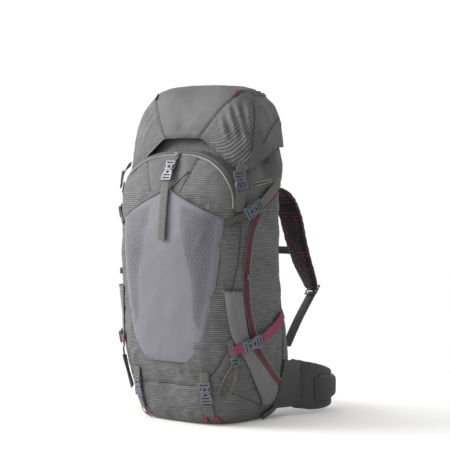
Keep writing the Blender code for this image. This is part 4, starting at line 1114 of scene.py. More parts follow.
def moulded_nylon(name, colour, roughness=0.38):
    """Injection-moulded nylon or acetal: a dense, faintly mottled gloss with a fine spark-eroded grain."""
    made, tree, shader = new_material(name, Roughness=roughness)
    place = add(tree, "ShaderNodeTexCoord").outputs["Object"]
    grain = add(tree, "ShaderNodeTexNoise", {"Vector": place, "Scale": 1400.0, "Detail": 2.0}).outputs[0]
    mottle = add(tree, "ShaderNodeTexNoise", {"Vector": place, "Scale": 90.0, "Detail": 2.0}).outputs[0]
    hue = linear(colour)
    low, high = [(*[c * k for c in hue[:3]], 1.0) for k in (0.82, 1.12)]
    tone = add(tree, "ShaderNodeMix", {0: mottle, 6: low, 7: high}, data_type="RGBA").outputs[2]
    tree.links.new(tone, shader.inputs["Base Color"])
    bump = add(tree, "ShaderNodeBump", {"Height": grain, "Strength": 0.25, "Distance": 0.0001}).outputs[0]
    tree.links.new(bump, shader.inputs["Normal"])
    return made


pale_piping = binding_tape("reflective_piping", "#82837d", "#6d6e68")
pale_coil = moulded_nylon("pale_nylon_coil", "#6a6b66")
burgundy_coil = moulded_nylon("burgundy_nylon_coil", "#7b2a45")
burgundy_tape = binding_tape("burgundy_zip_tape", "#5e2637", "#43202b")
green_piping = binding_tape("grey_green_piping", "#6c6e62", "#54564c")
dark_tape = binding_tape("dark_zip_tape", "#4a4949", "#343333")


def arch_line(start, end, count, lift):
    """Places round the arch zip and the outward directions there."""
    turns = np.linspace(start, end, count)
    power = ARCH_ROUNDNESS
    reach = (np.abs(np.cos(turns)) ** power + np.sin(turns) ** power) ** (-1 / power)
    x = ARCH_HALF_WIDTH * reach * np.cos(turns)
    height = ARCH_FOOT + ARCH_RISE * reach * np.sin(turns)
    base = front_at(x, height)
    outs = outward_of(front_at, x, height)
    rise = pod_lift(base[:, 0], base[:, 1], base[:, 2]) + lift
    return base + outs * rise[:, None], outs


points, outs = arch_line(0.01, math.pi - 0.01, 150, 0.0012)
tape = band("arch_zip_tape", points, outs, 0.013, 0.0012)
dressed(tape, dark_tape, "pack", "zip_tape", "front_zip")
points, outs = arch_line(0.0, math.pi, 150, 0.0022)
arch_coil = row_of("arch_zip_coil", [(points, outs)], pale_coil, 0.0013, 0.0009, 0.0034, 0.0014)
fit(arch_coil, "pack", "zip_tape")
points, outs = arch_line(0.01, math.pi - 0.01, 150, 0.0018)
shifted = points + np.cross(outs, np.gradient(points, axis=0) / np.linalg.norm(np.gradient(points, axis=0), axis=1,
                                                                               keepdims=True)) * 0.0036
arch_piping = tube("arch_piping", shifted, 0.0021)
dressed(arch_piping, pale_piping, "pack", "zip_tape")

SIDE_ZIP = ((0.072, 0.092), (0.102, 0.052), (0.140, 0.009), (0.160, -0.006), (0.200, -0.020), (0.251, -0.032),
            (0.302, -0.036), (0.376, -0.028), (0.427, -0.003), (0.472, 0.064))
heights = np.linspace(SIDE_ZIP[0][0], SIDE_ZIP[-1][0], 90)
zip_depths = smooth(SIDE_ZIP, heights)
zip_places = side_at(zip_depths, heights)
zip_outs = outward_of(side_at, zip_depths, heights)
zip_along = np.gradient(zip_places, axis=0)
zip_along /= np.linalg.norm(zip_along, axis=1, keepdims=True)
zip_across = np.cross(zip_outs, zip_along)
for label, side in (("left", -1), ("right", 1)):
    turn = np.array((side, 1, 1))
    outs = zip_outs * turn
    tape = band(f"side_zip_tape_{label}", (zip_places + zip_outs * 0.0010) * turn, outs, 0.012, 0.0012)
    dressed(tape, burgundy_tape, "pack", "accent_zip", f"side_zip_{label}")
    coil_line = (zip_places + zip_outs * 0.0022) * turn
    coil = row_of(f"side_zip_coil_{label}", [(coil_line, outs)], burgundy_coil, 0.0014, 0.0010, 0.0042, 0.0020)
    fit(coil, "pack", "accent_zip")
    piping_line = (zip_places + zip_outs * 0.0016 - zip_across * 0.0072) * turn
    piping = tube(f"side_zip_piping_{label}", piping_line, 0.0016)
    dressed(piping, green_piping, "pack", "zip_tape")
    flap_line = (zip_places + zip_outs * 0.0013 + zip_across * 0.0068) * turn
    flap = tube(f"side_zip_flap_{label}", flap_line, 0.0012)
    dressed(flap, dark_binding, "pack", "zip_tape")

angles = np.radians(np.arange(-8, 189, 1.5))
lid_zip_line = skin(LID_ROWS, angles, np.full(len(angles), 0.6635))
lid_outs = lid_zip_line - np.array((0, 0.036, 0.60))
lid_outs /= np.linalg.norm(lid_outs, axis=1, keepdims=True)
lid_tape = band("lid_zip_tape", lid_zip_line + lid_outs * 0.0008, lid_outs, 0.012, 0.0012)
dressed(lid_tape, dark_tape, "lid", "zip_tape", "lid_zip")
lid_coil = row_of("lid_zip_coil", [(lid_zip_line + lid_outs * 0.0018, lid_outs)], pale_coil, 0.0014, 0.0010, 0.0036,
                  0.0016)
fit(lid_coil, "lid", "zip_tape")
lid_flap = tube("lid_zip_flap", skin(LID_ROWS, angles, np.full(len(angles), 0.6715), 0.0010), 0.0017)
dressed(lid_flap, green_piping, "lid", "zip_tape")


# Stitching: a lockstitch in bonded thread beside each seam, drawn at a 3.4 mm pitch.
# Where two lines run side by side the seam is topstitched to hold its allowance flat.

def stitch_lines(seams, surface, offsets, lift=0.0003):
    """Lines beside seams on a surface, with the outward directions there."""
    normals = grid_normals(surface, True).reshape(-1, 3)
    flat = surface.reshape(-1, 3)
    found = []
    for seam in seams:
        seam = evenly(seam, 40)
        near = [np.argmin(((flat - p) ** 2).sum(axis=1)) for p in seam]
        outs = normals[near]
        along = np.gradient(seam, axis=0)
        along /= np.linalg.norm(along, axis=1, keepdims=True)
        across = np.cross(outs, along)
        for offset in offsets:
            wanted = seam + across * offset
            on = np.array([np.argmin(((flat - p) ** 2).sum(axis=1)) for p in wanted])
            depth = ((flat[on] - wanted) * outs).sum(axis=1)
            found.append((wanted + outs * (depth + lift)[:, None], outs))
    return found


def joined(name, pieces):
    """One mesh of several pieces."""
    bm = bmesh.new()
    for piece in pieces:
        bm.from_mesh(piece.data)
        bpy.data.objects.remove(piece)
    mesh = bpy.data.meshes.new(name)
    bm.to_mesh(mesh)
    bm.free()
    mesh.shade_smooth()
    obj = new_object(name, mesh)
    return obj


thread = moulded_nylon("bonded_nylon_thread", "#565555", 0.6)
# Painted shade: a thin dark tube lies along each seam's groove, so that the shade falling in the groove reads as a
# crisp dark line.
seam_groove_shade = moulded_nylon("painted_seam_shade", "#242324", 0.8)
for name, seams, surface, body in (("bag_seam_shade_lines", bag_seams, moved_bag, "pack"),
                                   ("lid_seam_shade_lines", lid_seams, lid_surface, "lid")):
    lines = stitch_lines(seams, surface, (0.0,), 0.0001)
    edges = joined(name, [tube(f"edge_{k}", points, 0.0008, 6) for k, (points, _) in enumerate(lines)])
    dressed(edges, seam_groove_shade, body, "webbing")
lines = stitch_lines(bag_seams, moved_bag, (0.0045,))
bag_stitches = row_of("bag_stitching", lines, thread, 0.0034, 0.0026, 0.0008, 0.0006)
fit(bag_stitches, "pack", "webbing")
lines = stitch_lines(lid_seams, lid_surface, (0.0040,))
lid_stitches = row_of("lid_stitching", lines, thread, 0.0034, 0.0026, 0.0008, 0.0006)
fit(lid_stitches, "lid", "webbing")


# Webbing: polyester in a herringbone, cut hot so that its ends are sealed. Each strap is sewn into a seam at one
# end and threaded through its clip at the other.

def strap_webbing(name, light, dark, pitch=0.0026):
    """Herringbone webbing: slanting ribs that meet along the middle, with a plain selvedge on each side."""
    made, tree, shader = new_material(name, Roughness=0.65, Sheen_Weight=0.04)
    cut = add(tree, "ShaderNodeUVMap", uv_map="cut").outputs[0]
    split = add(tree, "ShaderNodeSeparateXYZ", {0: cut}).outputs
    off = add(tree, "ShaderNodeMath", {0: split[0]}, operation="ABSOLUTE").outputs[0]
    slant = add(tree, "ShaderNodeMath", {0: off, 1: split[1]}, operation="ADD").outputs[0]
    turn = add(tree, "ShaderNodeMath", {0: slant, 1: 2 * math.pi / pitch}, operation="MULTIPLY").outputs[0]
    ribs = add(tree, "ShaderNodeMath", {0: turn}, operation="SINE").outputs[0]
    tone = add(tree, "ShaderNodeMapRange", {0: ribs, 1: -1.0, 2: 1.0}).outputs[0]
    wear = add(tree, "ShaderNodeTexNoise", {"Vector": cut, "Scale": 60.0, "Detail": 3.0}).outputs[0]
    shade = add(tree, "ShaderNodeMath", {0: tone, 1: wear}, operation="MULTIPLY").outputs[0]
    share = add(tree, "ShaderNodeMapRange", {0: shade, 1: 0.0, 2: 0.65}).outputs[0]
    colour = add(tree, "ShaderNodeMix", {0: share, 6: linear(dark), 7: linear(light)}, data_type="RGBA").outputs[2]
    tree.links.new(colour, shader.inputs["Base Color"])
    bump = add(tree, "ShaderNodeBump", {"Height": tone, "Strength": 0.5, "Distance": 0.0003}).outputs[0]
    tree.links.new(bump, shader.inputs["Normal"])
    return made


olive_webbing = strap_webbing("olive_polyester_webbing", "#615f59", "#45433f")
magenta_webbing = strap_webbing("magenta_polyester_webbing", "#8a2050", "#651539")
dark_webbing = strap_webbing("dark_polyester_webbing", "#474541", "#302f2d")
acetal = moulded_nylon("blue_grey_acetal", "#54575f", 0.27)
body_of = {node: body for body, nodes in frame["record"]["behaviour"]["bodies"].items() for node in nodes}
UPPER_ROUTE = ((0.004, 0.449), (0.030, 0.466), (0.056, 0.482), (0.078, 0.496))
LOWER_ROUTE = ((0.000, 0.177), (0.024, 0.187), (0.050, 0.199), (0.078, 0.220))
CLIP_REACH = 0.030


def laid(place, route, count, lifts):
    """Places and outward directions along a route over the skin, lifted from the first value to the last."""
    flat = evenly(route, count)
    base = place(flat[:, 0], flat[:, 1])
    outs = outward_of(place, flat[:, 0], flat[:, 1])
    lift = smooth([(0, lifts[0]), (0.4, (lifts[0] * 0.35 + lifts[1] * 0.65)), (1, lifts[1])],
                  np.linspace(0, 1, count))
    return base + outs * lift[:, None], outs


def clip_webbing(name, points, outs, width, surface, node):
    """A strap between the pack and a clip that slides out of its socket."""
    strap = band(name, points, outs, width, 0.0018)
    strap.data.materials.append(surface)
    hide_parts(node)
    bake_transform(strap)
    return strap


def trim(name, points, outs, width, surface, slot="webbing", body="pack", thickness=0.0016):
    """A short tape or loop that is sewn to one body."""
    piece = band(name, points, outs, width, thickness)
    piece.data.materials.append(surface)
    return fit(piece, body, slot)


side_straps = (("upper", (-0.028, 0.430), UPPER_ROUTE, 0.0098, olive_webbing, "webbing"),
               ("lower", (-0.029, 0.166), LOWER_ROUTE, 0.0125, magenta_webbing, "accent_webbing"))
for kind, buckle, route, lift, surface, slot in side_straps:
    way = np.array(route[0]) - buckle
    way /= np.linalg.norm(way)
    first = tuple(np.array(buckle) + way * CLIP_REACH)
    points, outs = laid(side_at, (first, *route[1:]), 30, (lift, 0.0045))
    for label, side in (("left", -1), ("right", 1)):
        turn = np.array((side, 1, 1))
        name = f"{kind}_side_webbing_{label}"
        clip_webbing(name, points * turn, outs * turn, 0.020, surface, name)

points, outs = laid(front_at, ((0.087, 0.046), (0.0865, 0.034), (0.086, 0.022)), 14, (0.0058, 0.0040))
for label, side in (("left", -1), ("right", 1)):
    turn = np.array((side, 1, 1))
    name = f"base_webbing_{label}"
    clip_webbing(name, points * turn, outs * turn, 0.020, olive_webbing, name)
points, outs = laid(front_at, ((0, 0.4837), (0, 0.43), (0, 0.372)), 40, (0.0140, 0.0138))
clip_webbing("pocket_webbing", points, outs, 0.020, olive_webbing, "pocket_webbing")


# Sewn loops and tabs: short lengths of the same webbings and tapes, bar-tacked into the seams. They hold the
# buckles' fixed halves, and the magenta ones mark where a strap is sewn in.

for label, side in (("left", -1), ("right", 1)):
    turn = np.array((side, 1, 1))
    lid_top, outs = laid(side_at, ((-0.0250, 0.523), (-0.0340, 0.511), (-0.0385, 0.4975)), 14, (0.0060, 0.0122))
    trim(f"lid_strap_{label}", lid_top * turn, outs * turn, 0.020, olive_webbing, body="lid")
    lid_low, outs = laid(side_at, ((-0.0425, 0.468), (-0.0440, 0.455), (-0.0460, 0.430)), 16, (0.0070, 0.0030))
    trim(f"lid_buckle_strap_{label}", lid_low * turn, outs * turn, 0.020, olive_webbing)
    hold, outs = laid(side_at, ((-0.0380, 0.4240), (-0.0560, 0.413), (-0.0680, 0.404)), 10, (0.0085, 0.0025))
    trim(f"upper_buckle_tab_{label}", hold * turn, outs * turn, 0.012, dark_webbing)
    hold, outs = laid(side_at, ((-0.0390, 0.1622), (-0.0510, 0.1565), (-0.0600, 0.1520)), 10, (0.0115, 0.0040))
    trim(f"lower_buckle_tab_{label}", hold * turn, outs * turn, 0.018, magenta_webbing, "accent_webbing")
    hold, outs = laid(front_at, ((0.0872, 0.0870), (0.0878, 0.100), (0.0880, 0.110)), 8, (0.0058, 0.0020))
    trim(f"base_buckle_tab_{label}", hold * turn, outs * turn, 0.020, olive_webbing)
    for edge in (-1, 1):
        hem, outs = laid(front_at, ((0.086 + edge * 0.011, 0.004), (0.086 + edge * 0.0105, 0.013),
                                    (0.086 + edge * 0.008, 0.021)), 10, (0.0022, 0.0050))
        place = "outer" if edge > 0 else "inner"
        trim(f"base_loop_{place}_{label}", hem * turn, outs * turn, 0.006, magenta_webbing, "accent_webbing")
    stay, outs = laid(side_at, ((0.142, 0.064), (0.120, 0.042), (0.090, 0.021), (0.066, 0.008)), 24, (0.0045, 0.0045))
    trim(f"hip_stay_webbing_{label}", stay * turn, outs * turn, 0.020, dark_webbing)


def bars(name, rails, radius):
    """Round bars of one moulding, each between two points, in one mesh."""
    return joined(name, [tube(f"bar_{k}", np.linspace(a, b, 3), radius) for k, (a, b) in enumerate(rails)])


def ladder_lock(name, centre, along, outward, width, length, body):
    """A moulded adjuster: two side rails and three bars that the webbing doubles back over."""
    centre, along, outward = (np.array(v, float) for v in (centre, along, outward))
    along /= np.linalg.norm(along)
    across = np.cross(along, outward)
    across /= np.linalg.norm(across)
    rails = [(centre + across * s * width / 2 - along * length / 2,
              centre + across * s * width / 2 + along * length / 2)
             for s in (-1, 1)]
    rails += [(centre - across * width / 2 + along * length * k, centre + across * width / 2 + along * length * k)
              for k in (-0.46, 0.0, 0.46)]
    made = bars(name, rails, 0.0017)
    made.data.materials.append(acetal)
    return fit(made, body, "buckle_plastic")


# Tool loops: a strip of reflective-flecked webbing on each side of the foot, a small adjuster, and a narrow loop
# below it that an axe or pole tip is pushed through.

for label, side in (("left", -1), ("right", 1)):
    turn = np.array((side, 1, 1))
    strip, outs = laid(side_at, ((-0.060, 0.176), (-0.056, 0.158), (-0.050, 0.140)), 16, (0.0040, 0.0060))
    trim(f"tool_webbing_{label}", strip * turn, outs * turn, 0.012, olive_webbing)
    middle, outs = laid(side_at, ((-0.050, 0.140), (-0.049, 0.134), (-0.048, 0.128)), 3, (0.0070, 0.0070))
    ladder_lock(f"tool_lock_{label}", middle[1] * turn, (middle[2] - middle[0]) * turn, outs[1] * turn, 0.014, 0.016,
                "pack")
    loop_route = ((-0.047, 0.127), (-0.0445, 0.110), (-0.0440, 0.088), (-0.0470, 0.070), (-0.0520, 0.064),
                  (-0.0570, 0.068), (-0.0580, 0.090), (-0.0555, 0.112), (-0.0515, 0.127))
    loop, outs = laid(side_at, loop_route, 48, (0.0060, 0.0075))
    sideways = np.cross(np.gradient(loop, axis=0), outs)
    sideways /= np.linalg.norm(sideways, axis=1, keepdims=True)
    facing = sideways * 0.75 + outs * 0.66
    trim(f"tool_loop_{label}", loop * turn, facing * turn, 0.009, olive_webbing)
    cords = (((-0.012, 0.487), (0.030, 0.493), (0.060, 0.4985), (0.088, 0.500)),
             ((-0.012, 0.481), (0.030, 0.488), (0.060, 0.4935), (0.088, 0.495)))
    for k, route in enumerate(cords, 1):
        line, outs = laid(side_at, route, 30, (0.0026, 0.0040))
        cord = tube(f"side_elastic_{k}_{label}", line * turn, 0.0013)
        dressed(cord, cord_braid, "pack", "webbing")


# Front trims: a burgundy-edged slit beside the centre buckle, a pull tab at the stretch pocket's corner, and small
# burgundy tabs where the lid's front seams end.

for label, side in (("left", -1), ("right", 1)):
    ends = onto([(0.104, 0.001, 0.661), (0.108, 0.008, 0.667), (0.111, 0.014, 0.671)], lid_surface.reshape(-1, 3))
    outs = ends - np.array((0.0, 0.036, 0.60))
    outs /= np.linalg.norm(outs, axis=1, keepdims=True)
    turn = np.array((side, 1, 1))
    trim(f"lid_seam_tab_{label}", (ends + outs * 0.0014) * turn, outs * turn, 0.010, burgundy_tape, "accent_zip", "lid",
         0.0020)

slit = tube("front_slit_piping", front_line(((0.009, 0.475), (0.026, 0.489), (0.046, 0.507)), 24, 0.0012), 0.0014)
dressed(slit, burgundy_tape, "pack", "accent_zip")
hold, outs = laid(front_at, ((0, 0.5228), (0, 0.534), (0, 0.545)), 8, (0.0125, 0.0070))
trim("pocket_buckle_tab", hold, outs, 0.020, olive_webbing)
tab_places, outs = laid(front_at, ((0.1010, 0.444), (0.1015, 0.439), (0.1020, 0.433)), 8, (0.0105, 0.0115))
trim("pocket_corner_tab", tab_places, outs, 0.007, grey_binding, "zip_tape", thickness=0.0018)


# Buckles: side-release buckles, moulded in glass-filled acetal with edges rounded by the mould. The zip sliders are
# die-cast and painted the same blue-grey.

def plate(name, outlines, thickness, edge):
    """A flat moulding from its outline and the windows in it, with rounded edges."""
    shape = bpy.data.curves.new(name, "CURVE")
    shape.dimensions = "2D"
    shape.fill_mode = "BOTH"
    shape.extrude = thickness / 2 - edge
    shape.bevel_depth = edge
    shape.bevel_resolution = 2
    for outline in outlines:
        spline = shape.splines.new("POLY")
        spline.points.add(len(outline) - 1)
        spline.points.foreach_set("co", [c for u, v in outline for c in (u, v, 0, 1)])
        spline.use_cyclic_u = True
    obj = new_object(name, shape)
    mesh = bpy.data.meshes.new_from_object(obj.evaluated_get(bpy.context.evaluated_depsgraph_get()))
    bpy.data.objects.remove(obj)
    flat = new_object(name, mesh)
    return flat


def both_edges(half):
    """A closed outline from the points of one half, from one end to the other."""
    upper = evenly(half, 6 * len(half))
    return np.vstack([upper, upper[::-1] * (1, -1)])


def window(start, end, half):
    """A slot with cut corners."""
    c = 0.0008
    return [(start, -half + c), (start + c, -half), (end - c, -half), (end, -half + c), (end, half - c),
            (end - c, half), (start + c, half), (start, half - c)]


SOCKET = [both_edges(((-0.0135, 0.0108), (-0.0128, 0.0118), (-0.0085, 0.0118), (-0.0060, 0.0106), (-0.0035, 0.0078),
                      (0.0020, 0.0072), (0.0042, 0.0096), (0.0058, 0.0098))),
          window(-0.0115, -0.0078, 0.0094), window(-0.0035, 0.0030, 0.0034)]
CLIP = [both_edges(((0.0070, 0.0086), (0.0090, 0.0094), (0.0130, 0.0108), (0.0180, 0.0118), (0.0280, 0.0118),
                    (0.0290, 0.0110))),
        window(0.0165, 0.0200, 0.0090), window(0.0228, 0.0265, 0.0094), window(0.0088, 0.0142, 0.0040)]
PRONG = ((0.0090, 0.0078), (0.0050, 0.0102), (0.0000, 0.0114), (-0.0035, 0.0108), (-0.0055, 0.0090))


def placed(obj, centre, along, across, outward, side):
    """Turns a flat moulding to its place on the pack, on the right or, mirrored, on the left."""
    turn = np.array((side, 1, 1))
    places = np.empty(len(obj.data.vertices) * 3)
    obj.data.vertices.foreach_get("co", places)
    places = places.reshape(-1, 3) @ np.array((along, across, outward)) + centre
    obj.data.vertices.foreach_set("co", (places * turn).ravel())
    bm = bmesh.new()
    bm.from_mesh(obj.data)
    bmesh.ops.remove_doubles(bm, verts=bm.verts, dist=1e-6)
    bmesh.ops.recalc_face_normals(bm, faces=bm.faces)
    bm.to_mesh(obj.data)
    bm.free()
    obj.data.shade_smooth()
    obj.data.set_sharp_from_angle(angle=math.radians(38))
    obj.data.name = obj.name
    return obj


BUCKLES = (  # kind, skin, centre, way the clip lies, lifts of the socket and the clip, thicknesses, sides
    ("lid", side_at, (-0.041, 0.480), (0, 1), (0.0068, 0.0122), (0.0030, 0.0042), True),
    ("base", front_at, (0.087, 0.077), (0, -1), (0.0062, 0.0062), (0.0056, 0.0044), True),
    ("upper_side", side_at, (-0.028, 0.430), (0.032, 0.019), (0.0098, 0.0098), (0.0056, 0.0044), True),
    ("lower_side", side_at, (-0.029, 0.166), (0.029, 0.011), (0.0125, 0.0125), (0.0056, 0.0044), True),
    ("pocket", front_at, (0.0, 0.513), (0, -1), (0.0125, 0.0125), (0.0056, 0.0044), False),
)
for kind, place, at, way, lifts, depths, paired in BUCKLES:
    step = 0.004 / math.hypot(*way)
    u, v = np.array([[at[k], at[k] + way[k] * step] for k in (0, 1)])
    spots, outward = place(u, v), outward_of(place, u, v)[0]
    along = spots[1] - spots[0]
    along -= outward * np.dot(along, outward)
    along /= np.linalg.norm(along)
    across = np.cross(outward, along)
    for label, side in (("left", -1), ("right", 1)) if paired else (("", 1),):
        ending = f"_{label}" if paired else ""
        socket = plate(f"{kind}_socket_moulding{ending}", SOCKET, depths[0], 0.0009)
        placed(socket, spots[0] + outward * lifts[0], along, across, outward, side)
        dressed(socket, acetal, body_of[f"{kind}_buckle{ending}"], "buckle_plastic", f"{kind}_buckle{ending}")
        clip = plate("clip_plate", CLIP, depths[1], 0.0009)
        prongs = [tube(f"prong_{k}", np.column_stack([evenly(PRONG, 12) * (1, k), np.zeros(12)]), 0.0017)
                  for k in (-1, 1)]
        clip = joined(f"{kind}_clip_moulding{ending}", [clip, *prongs])
        placed(clip, spots[0] + outward * lifts[1], along, across, outward, side)
        dressed(clip, acetal, body_of[f"{kind}_clip{ending}"], "buckle_plastic", f"{kind}_clip{ending}")


def rounded(node, radius=0.0005):
    """The part's own shape with its corners rounded. UV in metres, as webbing is drawn."""
    bm = bmesh.new()
    bm.from_mesh(frame["nodes"][node].data)
    bmesh.ops.remove_doubles(bm, verts=bm.verts, dist=1e-5)
    bmesh.ops.dissolve_limit(bm, angle_limit=math.radians(2), verts=bm.verts, edges=bm.edges)
    sharp = [e for e in bm.edges if len(e.link_faces) == 2 and e.calc_face_angle(0) > math.radians(28)]
    bmesh.ops.bevel(bm, geom=sharp, offset=radius, segments=2, profile=0.5, affect="EDGES", clamp_overlap=True)
    bmesh.ops.triangulate(bm, faces=[f for f in bm.faces if len(f.verts) > 4])
    bmesh.ops.recalc_face_normals(bm, faces=bm.faces)
    layer = bm.loops.layers.uv.new("cut")
    for face in bm.faces:
        for loop in face.loops:
            loop[layer].uv = (loop.vert.co.z, loop.vert.co.x)
    mesh = bpy.data.meshes.new(f"{node}_moulding")
    bm.to_mesh(mesh)
    bm.free()
    mesh.shade_smooth()
    mesh.set_sharp_from_angle(angle=math.radians(35))
    obj = new_object(f"{node}_moulding", mesh)
    return obj


def seated(piece, line, travel):
    """Moves a slider in on to its coil, as far as it can go with no bite into the cloth anywhere on its travel."""
    places = np.array([v.co for v in piece.data.vertices])
    middle = (places.min(0) + places.max(0)) / 2
    away = middle - line[np.linalg.norm(line - middle, axis=1).argmin()]
    least = min(np.linalg.norm(line - middle - (x, 0, 0), axis=1).min() for x in np.linspace(0, travel, 15))
    drop = max(least - SLIDER_SEAT, 0)
    piece.data.transform(Matrix.Translation(-away / np.linalg.norm(away) * drop))


SLIDER_SEAT = 0.0085
LID_SLIDER_TRAVEL = -0.140
COIL_LINES = {"front_zip_slider": arch_line(0.0, math.pi, 150, 0.0)[0], "lid_zip_slider": lid_zip_line}
COIL_LINES["side_zip_slider_right"] = zip_places
COIL_LINES["side_zip_slider_left"] = zip_places * (-1, 1, 1)
mouldings = [node for node in body_of if node.endswith("_slider") or "_slider_" in node]
cast_zinc = moulded_nylon("painted_zinc", "#55565a", 0.34)
HALF_BUCKLES = {"hip_buckle_left": 0.044, "hip_buckle_right": 0.049, "sternum_strap_left": 0.0125,
                "sternum_strap_right": 0.0170}
for node in dict.fromkeys([*mouldings, *HALF_BUCKLES]):
    piece = rounded(node)
    piece.data.materials.append(cast_zinc if "slider" in node else acetal)
    if node in COIL_LINES:
        seated(piece, COIL_LINES[node], LID_SLIDER_TRAVEL if node == "lid_zip_slider" else 0.0)
    if node in HALF_BUCKLES:
        piece.data.materials.append(dark_webbing)
        for face in piece.data.polygons:
            face.material_index = int(abs(face.center.x) > HALF_BUCKLES[node])
    fit(piece, body_of[node], "buckle_plastic", node)


# Back frame: a spring-steel wire bent round a moulded polyethylene sheet.
# Both stand in a sleeve inside the bag, behind the back panel, and carry the load down to the hip belt.

spring_steel, tree, shader = new_material("spring_steel", Metallic=1.0, Roughness=0.32)
place = add(tree, "ShaderNodeTexCoord").outputs["Object"]
drawn = add(tree, "ShaderNodeTexNoise", {"Vector": place, "Scale": 700.0, "Detail": 3.0}).outputs[0]
tone = add(tree, "ShaderNodeMix", {0: drawn, 6: linear("#7d8083"), 7: linear("#a3a6a8")}, data_type="RGBA").outputs[2]
tree.links.new(tone, shader.inputs["Base Color"])
polyethylene = moulded_nylon("black_polyethylene", "#2b2c2e", 0.45)
paint("wire_frame", spring_steel)
paint("frame_sheet", polyethylene)


# Haul loop: a short length of webbing, folded in half along its middle so that it is easy on the hand.
# Its ends are sewn into the seam above the back panel.

t = np.linspace(0.02, math.pi - 0.02, 30)
loop = np.stack([np.cos(t) * 0.0320, 0.1030 + np.sin(t) * 0.0260, np.full(30, 0.500)], axis=-1)
outs = np.stack([np.cos(t), np.sin(t), np.zeros(30)], axis=-1)
haul = band("haul_webbing", loop, outs, 0.018, 0.0034, 0.0006)
dressed(haul, dark_webbing, "haul_loop", "webbing", "haul_loop")


# Pads: closed-cell foam between a nylon face and an air mesh that lies against the wearer. Each is quilted where it
# is stitched through, and the mesh swells between the lines. The left-hand ones are the right-hand ones turned over.

def air_mesh(name, light, dark, spot=None, pitch=0.0052):
    """Knitted spacer fabric: rows of small open cells, and on the shoulder straps a burgundy yarn in each cell."""
    made, tree, shader = new_material(name, Roughness=0.85, Sheen_Weight=0.06)
    place = add(tree, "ShaderNodeTexCoord").outputs["Object"]
    cells = add(tree, "ShaderNodeTexVoronoi", {"Vector": place, "Scale": 1 / pitch, "Randomness": 0.35}).outputs[0]
    hole = add(tree, "ShaderNodeMapRange", {0: cells, 1: 0.22, 2: 0.36}).outputs[0]
    lining = add(tree, "ShaderNodeAttribute", attribute_name="lining").outputs[2]
    colour = add(tree, "ShaderNodeMix", {0: hole, 6: linear(spot or dark), 7: linear(light)},
                 data_type="RGBA").outputs[2]
    weave = add(tree, "ShaderNodeTexNoise", {"Vector": place, "Scale": 900.0, "Detail": 2.0}).outputs[0]
    cloth = add(tree, "ShaderNodeMix", {0: weave, 6: linear("#343334"), 7: linear("#434243")},
                data_type="RGBA").outputs[2]
    shown = add(tree, "ShaderNodeMix", {0: lining, 6: cloth, 7: colour}, data_type="RGBA").outputs[2]
    tree.links.new(shown, shader.inputs["Base Color"])
    depth = add(tree, "ShaderNodeMath", {0: hole, 1: lining}, operation="MULTIPLY").outputs[0]
    bump = add(tree, "ShaderNodeBump", {"Height": depth, "Strength": 0.5, "Distance": 0.0006}).outputs[0]
    tree.links.new(bump, shader.inputs["Normal"])
    return made


def applied(obj):
    """Replaces an object's mesh with what its modifiers make of it."""
    made = bpy.data.meshes.new_from_object(obj.evaluated_get(bpy.context.evaluated_depsgraph_get()))
    obj.modifiers.clear()
    obj.data = made


def puffed(name, node, voxel, quilting, most):
    """A pad's cloth, blown out by cloth simulation from its plain solid, and held where it is stitched down.

    quilting gives for points how firmly each is held, from 0 to 1, and how far it is drawn in."""
    source = bpy.data.meshes.new(name)
    bm = bmesh.new()
    bm.from_mesh(frame["nodes"][node].data)
    bm.to_mesh(source)
    bm.free()
    obj = new_object(name, source)
    remesh = obj.modifiers.new("cloth_grid", "REMESH")
    remesh.mode = "VOXEL"
    remesh.voxel_size = voxel
    soften = obj.modifiers.new("soft_corners", "SMOOTH")
    soften.iterations = 3
    applied(obj)
    count = len(obj.data.vertices)
    before = np.empty(count * 3)
    obj.data.vertices.foreach_get("co", before)
    before = before.reshape(-1, 3)
    normals = np.array([v.normal for v in obj.data.vertices])
    held, drawn_in = quilting(before, normals)
    before = before - normals * drawn_in[:, None]
    obj.data.vertices.foreach_set("co", before.ravel())
    group = obj.vertex_groups.new(name="stitched")
    for i in np.flatnonzero(held > 0.02):
        group.add([int(i)], float(held[i]), "REPLACE")
    cloth = obj.modifiers.new("cloth", "CLOTH")
    cloth.settings.quality = 5
    cloth.settings.mass = 0.2
    cloth.settings.tension_stiffness = 12
    cloth.settings.compression_stiffness = 12
    cloth.settings.bending_stiffness = 0.4
    cloth.settings.use_pressure = True
    cloth.settings.uniform_pressure_force = 4
    cloth.settings.vertex_group_mass = "stitched"
    cloth.settings.effector_weights.gravity = 0
    for step in range(1, 21):
        bpy.context.scene.frame_set(step)
    applied(obj)
    bpy.context.scene.frame_set(1)
    after = np.empty(count * 3)
    obj.data.vertices.foreach_get("co", after)
    move = after.reshape(-1, 3) - before
    length = np.linalg.norm(move, axis=1, keepdims=True)
    move *= np.minimum(1, most / np.maximum(length, 1e-9))
    obj.data.vertices.foreach_set("co", (before + move).ravel())
    obj.data.update()
    finer = obj.modifiers.new("smooth", "SUBSURF")
    finer.levels = finer.render_levels = 1
    applied(obj)
    obj.data.shade_smooth()
    obj.data.name = name
    return obj


def turned_over(obj, name):
    """The same pad for the other side."""
    mesh = obj.data.copy()
    mesh.name = name
    places = np.empty(len(mesh.vertices) * 3)
    mesh.vertices.foreach_get("co", places)
    places = places.reshape(-1, 3) * (-1, 1, 1)
    mesh.vertices.foreach_set("co", places.ravel())
    mesh.flip_normals()
    other = new_object(name, mesh)
    return other


def lined(obj, towards):
    """Marks the side of a pad that faces the wearer."""
    normals = np.array([v.normal for v in obj.data.vertices])
    mark(obj, "lining", ease(normals @ np.array(towards, float), -0.15, 0.15))


black_mesh = air_mesh("black_air_mesh", "#2b292a", "#151415")
spotted_mesh = air_mesh("spotted_air_mesh", "#120f10", "#120f10", "#7a1f41", 0.0075)
plain_pad = air_mesh("pad_nylon", "#3c3b3c", "#4d4c4d")


